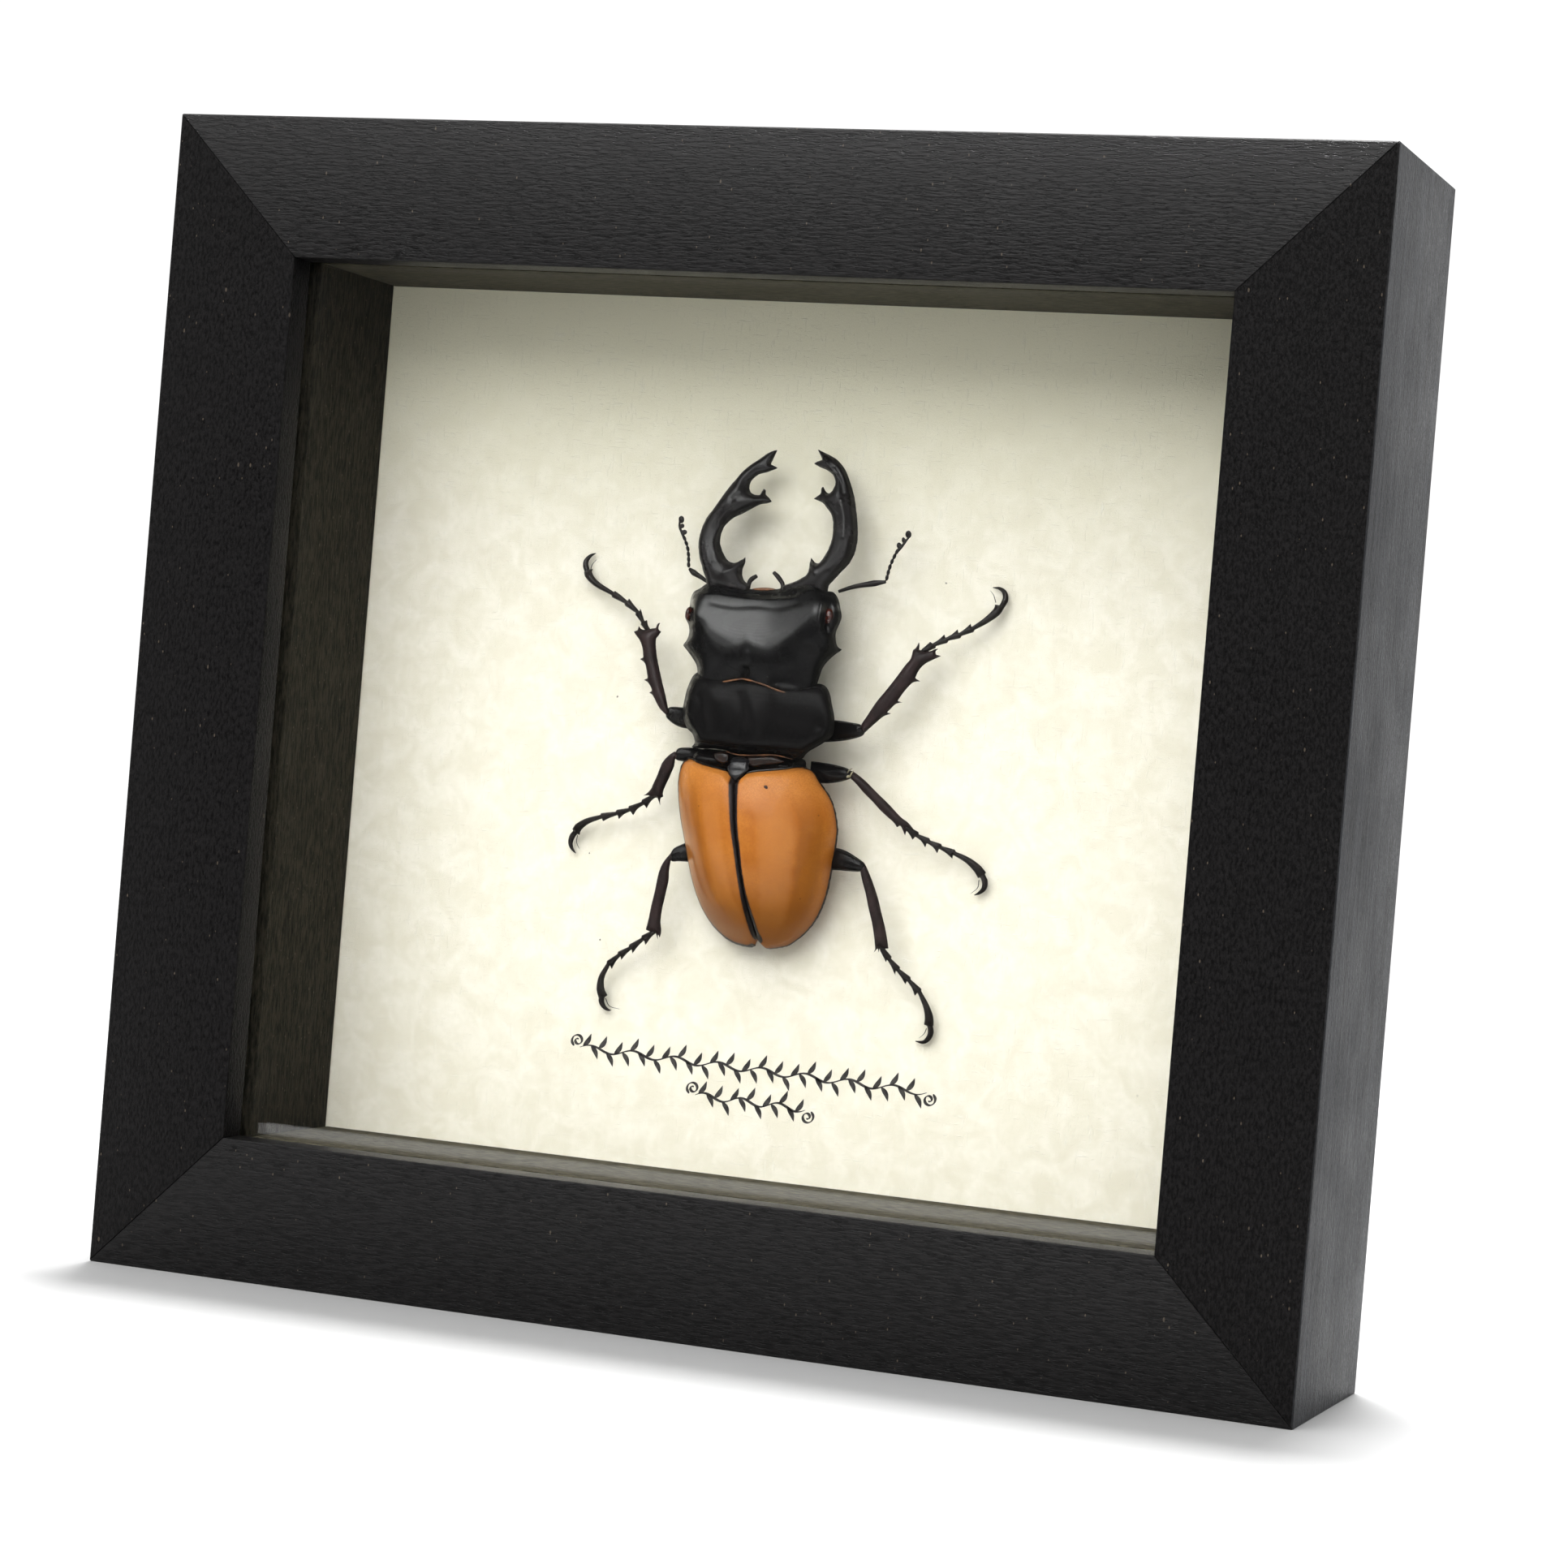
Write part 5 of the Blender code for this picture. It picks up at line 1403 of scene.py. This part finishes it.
# %% The six legs, as seen
LEG_READ_AT = 4.0
LEGS = {}
LEGS["front_left"] = {
    "heights": ((-13.0, 84.6, 3.6), (-17.6, 85.2, 6.1), (-21.6, 96.9, 5.0)),
    "thigh": (
        ((-17.4, 86.05), (-15.1, 86.15), (-12.4, 86.0)), ((-12.4, 83.0),),
        ((-15.0, 83.2), (-16.2, 83.5), (-17.1, 83.95), (-17.8, 84.5), (-17.9, 85.1)),
    ),
    "shin": (
        ((-18.0, 87.6), (-18.9, 90.1), (-19.9, 93.3), (-20.25, 95.5), (-19.9, 96.1), (-19.5, 96.8)),
        ((-19.95, 97.1), (-19.9, 97.65), (-19.65, 98.15)), ((-20.2, 97.9), (-20.4, 97.25)),
        ((-21.2, 97.1), (-21.8, 96.9), (-22.6, 96.95), (-23.1, 97.45)), ((-23.2, 96.75),),
        ((-23.85, 96.5),), ((-22.6, 95.1), (-22.15, 94.0), (-21.95, 92.9)), ((-22.55, 92.6),),
        ((-21.8, 92.2), (-21.4, 91.5), (-21.0, 89.95)), ((-21.65, 89.65),),
        ((-20.9, 89.3), (-20.3, 88.5), (-20.2, 88.15)), ((-20.7, 87.85),),
        ((-20.0, 87.5), (-19.0, 86.0), (-18.3, 85.3), (-17.7, 84.85)),
        ((-17.3, 85.3), (-17.5, 86.0)),
    ),
    "foot": (
        (-21.5, 97.2), (-22.4, 98.0), (-23.6, 99.4), (-25.7, 100.7), (-28.1, 101.8), (-31.0, 103.1),
        (-32.5, 104.3), (-32.8, 105.0),
    ),
    "lobes": ((-21.7, 98.3), (-23.2, 100.0), (-25.3, 101.3), (-27.9, 102.3)),
    "claw": ((-32.9, 104.7), (-33.4, 105.7), (-33.4, 106.5), (-32.9, 107.2), (-32.2, 107.6)),
    "bristle": ((-32.5, 105.0), (-32.4, 105.9), (-31.9, 106.7)),
}
LEGS["front_right"] = {
    "heights": ((7.5, 84.6, 3.9), (12.6, 85.1, 6.1), (20.6, 96.7, 5.0)),
    "thigh": (
        ((8.6, 86.05), (10.7, 85.9), (12.1, 85.7), (12.7, 84.9), (12.4, 84.1), (10.8, 83.5),
         (9.0, 83.1), (6.8, 82.8)), ((6.6, 86.0),),
    ),
    "shin": (
        ((12.7, 86.8), (14.0, 89.0), (15.7, 91.3), (17.0, 93.2), (18.0, 94.7), (18.6, 95.5),
         (18.85, 96.8)), ((19.25, 97.1), (19.65, 98.05)), ((19.8, 97.4), (19.75, 96.85)),
        ((20.5, 96.7), (21.5, 96.8), (22.0, 97.1), (22.8, 97.25)), ((22.25, 96.8), (22.3, 96.35)),
        ((23.25, 96.2),), ((22.0, 95.6), (20.8, 94.9), (20.0, 94.0), (19.5, 92.85)),
        ((20.45, 92.4),), ((19.3, 92.2), (18.5, 91.4), (17.7, 90.3), (17.2, 89.45)),
        ((18.15, 89.3),), ((17.0, 89.0), (16.2, 88.2), (15.75, 87.7)), ((16.65, 87.65),),
        ((15.3, 87.1), (14.3, 86.2), (13.3, 85.2), (12.6, 84.5)), ((12.0, 85.0), (12.1, 85.85)),
    ),
    "foot": (
        (20.9, 96.8), (22.0, 97.7), (23.6, 98.6), (25.3, 99.4), (27.0, 100.4), (28.6, 101.6),
        (29.9, 102.9), (30.2, 103.8),
    ),
    "lobes": ((21.4, 98.1), (23.2, 99.3), (24.9, 100.15), (26.6, 101.1)),
    "claw": ((30.4, 103.5), (30.9, 104.8), (30.6, 105.8), (29.8, 106.3), (28.7, 106.4)),
    "bristle": ((29.6, 104.3), (29.1, 105.3), (28.5, 105.9)),
}
LEGS["middle_left"] = {
    "heights": ((-12.0, 79.3, 4.6), (-15.6, 79.3, 6.0), (-18.4, 73.1, 4.4)),
    "thigh": (
        ((-15.4, 80.3), (-13.4, 80.5), (-10.5, 80.4)), ((-10.5, 78.3),),
        ((-12.5, 78.3), (-14.6, 78.4), (-15.7, 78.6), (-15.9, 79.6)),
    ),
    "shin": (
        ((-16.9, 79.0), (-17.7, 77.9), (-18.2, 76.4), (-18.7, 75.1), (-19.1, 74.1), (-19.8, 73.35),
         (-20.6, 72.85)), ((-19.5, 73.1), (-18.7, 72.8), (-18.0, 72.9)), ((-17.35, 71.5),),
        ((-17.5, 72.8), (-17.1, 73.1), (-17.2, 73.7), (-17.0, 74.4), (-16.55, 75.55), (-16.1, 76.7),
         (-15.8, 77.6), (-15.7, 78.6)), ((-15.3, 79.2), (-15.9, 79.8)),
    ),
    "foot": (
        (-18.7, 72.9), (-20.3, 71.9), (-22.5, 70.8), (-24.6, 70.1), (-27.2, 69.4), (-29.4, 68.6),
        (-30.9, 67.6), (-31.4, 66.8),
    ),
    "lobes": ((-19.6, 71.2), (-21.8, 70.0), (-24.2, 69.25), (-26.8, 68.75)),
    "claw": ((-31.3, 67.0), (-32.0, 66.2), (-32.3, 65.2), (-32.1, 64.4), (-31.5, 63.7)),
    "bristle": ((-31.1, 66.4), (-31.3, 65.4), (-30.9, 64.4)),
}
LEGS["middle_right"] = {
    "heights": ((6.5, 78.4, 4.6), (11.2, 78.6, 6.0), (20.3, 72.0, 4.2)),
    "thigh": (
        ((6.4, 79.95), (8.4, 79.8), (10.6, 79.4), (11.3, 78.7), (11.1, 77.95), (9.3, 77.3),
         (7.3, 77.0), (5.0, 77.2)), ((5.0, 80.0),),
    ),
    "shin": (
        ((11.8, 78.85), (13.3, 77.9), (15.3, 76.3), (17.1, 74.9), (19.1, 73.2), (20.2, 72.55),
         (21.2, 71.6)), ((20.2, 71.8),), ((19.95, 70.6),),
        ((19.5, 71.4), (19.1, 71.95), (18.65, 71.65)),
        ((18.3, 72.1), (17.8, 72.55), (17.0, 73.1), (15.8, 74.0), (14.7, 75.0), (13.3, 76.1),
         (12.0, 77.3), (11.2, 77.9)), ((10.7, 78.5), (11.0, 79.2)),
    ),
    "foot": (
        (20.4, 71.6), (21.6, 70.8), (23.2, 70.05), (24.9, 69.4), (26.9, 68.75), (28.7, 68.0),
        (30.1, 67.0), (30.9, 66.0),
    ),
    "lobes": ((21.0, 70.1), (22.8, 69.15), (24.5, 68.5), (26.7, 67.9)),
    "claw": ((30.8, 66.2), (31.3, 65.2), (31.2, 64.2), (30.5, 63.5), (29.7, 63.1)),
    "bristle": ((30.5, 65.3), (30.3, 64.2), (29.3, 63.3)),
}
LEGS["hind_left"] = {
    "heights": ((-11.5, 65.6, 3.8), (-15.0, 64.9, 5.6), (-17.0, 53.8, 4.0)),
    "thigh": (
        ((-14.9, 65.9), (-14.0, 66.4), (-13.0, 66.8), (-10.5, 67.2)), ((-10.5, 64.1),),
        ((-12.7, 64.1), (-14.0, 64.05), (-15.1, 64.0), (-15.35, 65.2)),
    ),
    "shin": (
        ((-16.1, 64.0), (-16.7, 62.7), (-17.0, 61.1), (-17.2, 59.5), (-17.55, 57.5), (-17.8, 55.5),
         (-18.15, 53.8)), ((-17.4, 53.6), (-16.6, 53.55)), ((-16.0, 52.25),),
        ((-16.15, 53.3), (-15.85, 52.85), (-15.7, 53.9), (-15.95, 55.3), (-15.8, 57.3),
         (-15.45, 59.5), (-15.2, 61.3), (-15.25, 62.7), (-15.1, 64.0)),
        ((-14.8, 64.6), (-15.3, 65.1)),
    ),
    "foot": (
        (-17.0, 53.5), (-18.7, 52.4), (-20.7, 50.9), (-22.5, 49.7), (-24.2, 48.2), (-25.2, 46.3),
        (-25.4, 44.6), (-25.0, 43.4),
    ),
    "lobes": ((-18.2, 51.55), (-20.3, 50.1), (-22.1, 49.0), (-23.6, 47.5)),
    "claw": ((-25.1, 43.7), (-25.3, 42.7), (-24.9, 41.9), (-24.3, 41.5), (-23.9, 41.5)),
    "bristle": ((-24.6, 43.2), (-24.0, 42.1), (-22.5, 41.8)),
}
LEGS["hind_right"] = {
    "heights": ((9.0, 66.4, 3.8), (14.2, 65.6, 5.6), (18.0, 54.6, 4.0)),
    "thigh": (
        ((10.0, 68.05), (11.3, 67.8), (12.7, 67.2), (14.2, 66.35), (14.4, 65.6), (13.7, 65.0),
         (10.4, 64.9), (8.0, 64.8)), ((8.0, 68.0),),
    ),
    "shin": (
        ((15.0, 65.1), (15.8, 63.55), (16.7, 61.55), (17.3, 59.8), (18.1, 57.55), (18.55, 56.0),
         (18.9, 54.6)), ((18.2, 54.5), (17.6, 54.55)), ((17.4, 53.6),), ((17.3, 54.5),),
        ((16.4, 53.35),),
        ((16.85, 54.3), (16.8, 54.9), (16.6, 56.0), (16.1, 58.0), (15.4, 60.0), (14.8, 62.0),
         (14.2, 63.55), (13.75, 64.9)), ((13.7, 65.8), (14.35, 66.2)),
    ),
    "foot": (
        (18.0, 54.4), (18.9, 53.1), (20.2, 51.7), (21.8, 50.4), (23.4, 48.9), (24.4, 47.1),
        (24.9, 45.6), (24.9, 44.3),
    ),
    "lobes": ((18.5, 52.5), (19.9, 50.8), (21.4, 49.7), (22.8, 48.2)),
    "claw": ((25.0, 44.5), (25.2, 43.4), (24.9, 42.5), (24.1, 41.8), (22.8, 41.8)),
    "bristle": ((24.6, 43.8), (24.2, 43.0), (23.4, 42.3)),
}

# %% [markdown]
# Thigh and shin are outlines that are blown up and tilted from joint to joint. The feet follow
# one rule: each of the first four joints widens and ends in a lobe on its inner side, and the
# fifth is long.

# %% Thighs, shins and feet
THIGH_THICKNESS, SHIN_THICKNESS = 0.85, 0.9
FOOT_END_HEIGHT, CLAW_TIP_HEIGHT, BRISTLE_TIP_HEIGHT = 1.4, 0.55, 0.8
CLAW_RADII, BRISTLE_RADII = (0.38, 0.44, 0.38, 0.25, 0.06), (0.06, 0.05, 0.02)
JOINT_GAP, ANKLE_OVERLAP = 0.1, 0.7
THIN, LOBED_MIDDLE, PLAIN_MIDDLE, PLAIN_END = 0.30, 0.46, 0.42, 0.54
LAST_JOINT_WIDTHS = np.array([[0.32], [0.46], [0.62], [0.74]])


def blow_up_limb(outline, heights, thickness):
    """A thigh or a shin: a round section on an outline that is tilted from joint to joint."""
    level_at = height_along(heights)
    outline = closed_outline(outline, step=0.12)
    bm = fill_sheet(slide(outline, LEG_READ_AT, level_at(outline)), spacing=0.2)
    rise = thickness * swell(bm)
    return reskin(blow_up(bm, level_at(places_of(bm)), rise, rise), voxel=0.075, smoothing=1)


def foot_outline(joints, lobes):
    """The outline of a foot: four joints that widen to a lobe on one side, and a long fifth."""
    joints, lobes = np.array(joints), np.array(lobes)
    lobed, plain = [], []
    for i in range(4):
        along = (joints[i + 1] - joints[i]) / np.linalg.norm(joints[i + 1] - joints[i])
        across = np.array([-along[1], along[0]])
        across *= np.sign((lobes[i] - joints[i + 1]) @ across)
        near = joints[i] + along * (JOINT_GAP if i else -ANKLE_OVERLAP)
        far = joints[i + 1] - along * JOINT_GAP
        middle = (near + far) / 2
        lobed.append((near + across * THIN, middle + across * LOBED_MIDDLE, lobes[i]))
        lobed.append((lobes[i], far + across * THIN))
        plain.append((near - across * THIN, middle - across * PLAIN_MIDDLE,
                      far - across * PLAIN_END))
    side = np.sign(along[0] * across[1] - along[1] * across[0])
    last = joints[4:]
    turns = np.gradient(last, axis=0)
    normals = np.column_stack([-turns[:, 1], turns[:, 0]]) / np.linalg.norm(turns, axis=1)[:, None]
    lobed.append(tuple(last + side * normals * LAST_JOINT_WIDTHS))
    plain.append(tuple(last - side * normals * LAST_JOINT_WIDTHS))
    cap = (lobed[-1][-1], last[-1] + turns[-1] * 0.15, plain[-1][-1])
    parts = lobed + [cap] + [part[::-1] for part in reversed(plain)]
    routes = [parts[0]]
    for before, part in zip(parts, parts[1:]):
        if np.linalg.norm(before[-1] - part[0]) > 0.02:
            routes.append((before[-1], part[0]))
        routes.append(part)
    routes.append((parts[-1][-1], parts[0][0]))
    return np.vstack([smooth_route(route, step=0.1)[:-1] for route in routes])


def make_foot(leg, data):
    """A foot with its claw, melted into one, and a loose bristle between the claw's hooks."""
    joints = data["foot"]
    ankle_height = data["heights"][-1][2]
    share = (np.arange(len(joints)) / (len(joints) - 1)) ** 0.8
    heights = ankle_height + (FOOT_END_HEIGHT - ankle_height) * share
    level_at = height_along(at_height(joints, heights))
    bm = fill_sheet(foot_outline(joints, data["lobes"]), spacing=0.16)
    rise = swell(bm)
    bm = blow_up(bm, level_at(places_of(bm)), rise, rise)
    heights = np.linspace(FOOT_END_HEIGHT, CLAW_TIP_HEIGHT, len(data["claw"]))
    add_rod(bm, at_height(data["claw"], heights), CLAW_RADII, step=0.12)
    bm = reskin(bm, voxel=0.065, smoothing=1)
    heights = np.linspace(FOOT_END_HEIGHT, BRISTLE_TIP_HEIGHT, len(data["bristle"]))
    add_rod(bm, at_height(data["bristle"], heights), BRISTLE_RADII, sides=6)
    make_piece("foot_" + leg, bm, FOOT_SKIN, ["leg_%s_tarsus" % leg])


for leg, data in LEGS.items():
    thigh = blow_up_limb(data["thigh"], data["heights"][:2], THIGH_THICKNESS)
    make_piece("thigh_" + leg, thigh, THIGH_SKIN, ["leg_%s_femur" % leg])
    shin = blow_up_limb(data["shin"], data["heights"][1:], SHIN_THICKNESS)
    make_piece("shin_" + leg, shin, SHIN_SKIN, ["leg_%s_tibia" % leg])
    make_foot(leg, data)

# %% [markdown]
# Dried skin has torn at the right middle knee, and pale scraps of it stand out against the black
# leg.

# %% Scraps of dry skin at one knee
DRY_SKIN = two_tone("dry_skin", {"Roughness": 0.5, "Subsurface Weight": 0.1}, scale=3.0, detail=3.0,
                    low=0.3, dark=(0.20, 0.17, 0.09), pale=(0.45, 0.40, 0.27))
KNEE_SCRAPS = (
    ((11.25, 79.4), (10.85, 79.2), (10.6, 78.75)),
    ((11.5, 79.1), (11.2, 78.75), (11.0, 78.2), (10.6, 78.1)),
)
KNEE_FLAP, KNEE_HEIGHT = (10.75, 78.25), 6.6
SCRAP_RADII, FLAP_SIZE = (0.06, 0.10, 0.08), (0.30, 0.22, 0.14)
bm = bmesh.new()
for line in KNEE_SCRAPS:
    line = at_height(slide(line, LEG_READ_AT, KNEE_HEIGHT), KNEE_HEIGHT - 0.05)
    add_rod(bm, line, SCRAP_RADII, sides=6)
flap = at_height(slide([KNEE_FLAP], LEG_READ_AT, KNEE_HEIGHT), KNEE_HEIGHT - 0.1)[0]
add_bead(bm, flap, FLAP_SIZE, turn=0.4)
make_piece("knee_scraps", bm, DRY_SKIN)

# %% [markdown]
# ## Feelers
#
# Each antenna is elbowed: a smooth first joint, a string of small beads, and three lobes at the
# end. Two short curved palps stand between the jaws.

# %% Antennae and palps
FEELER_READ_AT = 5.0
FEELER_HEIGHT = ((102.0, 6.1), (106.0, 5.6), (110.0, 4.6), (114.0, 3.5))
FEELERS = {
    "left": {
        "scape": ((-12.6, 104.3), (-13.6, 104.9), (-14.8, 105.5), (-15.55, 106.05)),
        "beads": (
            (-15.72, 106.6), (-15.78, 107.35), (-15.88, 108.1), (-16.05, 108.9), (-16.35, 109.65),
            (-16.7, 110.35),
        ),
        "lobes": (
            ((-16.8, 111.2), (0.44, 0.38)), ((-17.2, 112.1), (0.34, 0.34)),
            ((-17.4, 113.0), (0.44, 0.55)),
        ),
        "axis": ((-16.7, 110.3), (-17.2, 111.2), (-17.6, 112.0), (-17.65, 112.9)),
    },
    "right": {
        "scape": ((7.4, 104.2), (9.6, 105.0), (12.0, 105.55), (14.35, 106.0)),
        "beads": (
            (14.45, 106.6), (14.58, 107.35), (14.75, 108.1), (15.0, 108.9), (15.3, 109.65),
            (15.62, 110.35),
        ),
        "lobes": (
            ((15.85, 111.2), (0.36, 0.46)), ((16.45, 112.0), (0.28, 0.42)),
            ((17.1, 112.85), (0.46, 0.55)),
        ),
        "axis": ((15.7, 110.4), (16.2, 111.0), (16.8, 111.9), (17.25, 112.5)),
    },
}
PALPS = {
    "left": ((-6.0, 103.8), (-6.1, 104.5), (-5.9, 105.1), (-5.2, 105.7)),
    "right": ((-0.9, 103.8), (-1.0, 104.7), (-1.9, 105.7), (-2.7, 106.3)),
}
SCAPE_RADII, AXIS_RADII = (0.24, 0.30, 0.36, 0.46, 0.22), (0.2, 0.2, 0.18, 0.12)
PALP_RADII = (0.26, 0.32, 0.36, 0.28)
PALP_HEIGHT, PALP_ROOT_HEIGHT, PALP_TIP_HEIGHT = 4.4, 5.0, 4.1
BEAD_SIZE, LOBE_THICKNESS = (0.25, 0.45, 0.24), 0.22


def feeler_points(points):
    """Places on an antenna, slid to their height: it sinks from the elbow to its tip."""
    heights = profile(FEELER_HEIGHT, np.array(points)[:, 1])
    return at_height(slide(points, FEELER_READ_AT, heights), heights)


for side, data in FEELERS.items():
    bm = bmesh.new()
    add_rod(bm, feeler_points(data["scape"]), SCAPE_RADII, step=0.15)
    beads = feeler_points(data["beads"])
    for place, ahead in zip(beads, np.gradient(beads, axis=0)):
        add_bead(bm, place, BEAD_SIZE, math.atan2(-ahead[0], ahead[1]))
    for place, size in data["lobes"]:
        add_bead(bm, feeler_points([place])[0], (*size, LOBE_THICKNESS), turn=0.2)
    add_rod(bm, feeler_points(data["axis"]), AXIS_RADII, step=0.15)
    bm = reskin(bm, voxel=0.06, smoothing=1)
    make_piece("feeler_" + side, bm, FOOT_SKIN, ["antenna_" + side])
    bm = bmesh.new()
    palp = slide(PALPS[side], FEELER_READ_AT, PALP_HEIGHT)
    heights = np.linspace(PALP_ROOT_HEIGHT, PALP_TIP_HEIGHT, len(palp))
    add_rod(bm, at_height(palp, heights), PALP_RADII, step=0.12)
    bm = reskin(bm, voxel=0.06, smoothing=1)
    make_piece("palp_of_" + side, bm, FOOT_SKIN, ["palp_" + side])

# %% [markdown]
# ## On the paper
#
# Below the beetle stand two lines of penned ornament: a waving stem between scrolls, set with
# leaves. A broad nib is held at one angle all the way, so the stem is thick where it crosses the
# nib and thin where it runs along it. Each stroke is a very thin solid that lies on the paper.

# %% Penned ornament
NIB_ANGLE, NIB_LONG, NIB_SHORT = math.radians(35), 0.22, 0.08
LEAF_WIDTH, LEAF_STEP, LEAF_LENGTH = 0.34, 1.25, 1.9
INK_THICKNESS, PEN_STEP = 0.02, 0.12


def add_stroke(bm, points, leaf=False):
    """One pen stroke through the points: a line of the broad nib, or a leaf with two sharp ends."""
    line = smooth_route(points, PEN_STEP)
    ahead = np.gradient(line, axis=0)
    ahead /= np.linalg.norm(ahead, axis=1)[:, None]
    across = np.column_stack([-ahead[:, 1], ahead[:, 0]])
    nib = np.array([math.cos(NIB_ANGLE), math.sin(NIB_ANGLE)])
    share = np.linspace(0, 1, len(line))
    if leaf:
        width = LEAF_WIDTH * np.sin(math.pi * share ** 0.8) + 0.02
    else:
        width = np.sqrt((NIB_LONG * (across @ nib)) ** 2 + (NIB_SHORT * (ahead @ nib)) ** 2)
        width *= 0.3 + 0.7 * np.sqrt(np.clip(np.minimum(share, 1 - share) * 12, 0, 1))
    edges = [[bm.verts.new((x, z, 0)) for x, z in line + sign * across * width[:, None]]
             for sign in (-1, 1)]
    faces = [bm.faces.new(corners)
             for corners in zip(edges[0], edges[0][1:], edges[1][1:], edges[1])]
    made = bmesh.ops.extrude_face_region(bm, geom=faces, use_keep_orig=True)
    top = only(bmesh.types.BMVert, made["geom"])
    bmesh.ops.translate(bm, vec=(0, 0, INK_THICKNESS), verts=top)


def scroll(centre, radius, start_angle):
    """Points of a spiral of one and a half turns that opens outwards."""
    points = []
    for i in range(13):
        angle = start_angle + i * math.pi / 4
        reach = radius * (0.2 + 0.8 * i / 12)
        points.append((centre[0] + reach * math.cos(angle), centre[1] + reach * math.sin(angle)))
    return points


def add_vine(bm, start, end, base, fall, swing, pitch):
    """A waving stem between two scrolls, with a leaf above and a leaf below it in turn."""
    def stem_at(x):
        along = x - start
        return base - fall * along / (end - start) + swing * math.sin(along * math.tau / pitch)

    add_stroke(bm, [(x, stem_at(x)) for x in np.linspace(start, end, int((end - start) * 1.5))])
    for i, x in enumerate(np.arange(start + 0.5, end - 0.9, LEAF_STEP)):
        root, rise = stem_at(x), LEAF_LENGTH * (-1) ** i
        leaf = [(x, root), (x + 0.75, root + 0.45 * rise), (x + 1.15, root + rise)]
        add_stroke(bm, leaf, leaf=True)
    add_stroke(bm, scroll((start - 0.4, stem_at(start) + 0.95), 1.0, 1.0))
    add_stroke(bm, scroll((end + 0.4, stem_at(end) - 0.95), 1.0, 1.0 + math.pi))


bm = bmesh.new()
add_vine(bm, start=-28.6, end=25.0, base=35.6, fall=0.9, swing=0.45, pitch=6.7)
add_vine(bm, start=-10.0, end=7.0, base=30.6, fall=0.3, swing=0.45, pitch=5.7)
bmesh.ops.recalc_face_normals(bm, faces=bm.faces[:])
make_piece("penned_ornament", bm, INK, smooth=False)

# %% [markdown]
# A few crumbs of dust have fallen behind the glass and lie on the paper.

# %% Crumbs on the paper
CRUMBS = (
    ((-27.2, 87.0), 0.16), ((21.6, 106.6), 0.13), ((-29.6, 63.9), 0.12), ((-26.8, 51.5), 0.15),
)
CRUMB_GREY = two_tone("crumb_grey", {"Roughness": 0.9}, scale=4.0, detail=2.0, low=0.3,
                      dark=(0.16, 0.15, 0.13), pale=(0.34, 0.32, 0.28))
bm = bmesh.new()
for place, size in CRUMBS:
    add_bead(bm, (*place, 0.3 * size), (size, 0.7 * size, 0.4 * size), place[0])
make_piece("crumbs", bm, CRUMB_GREY)
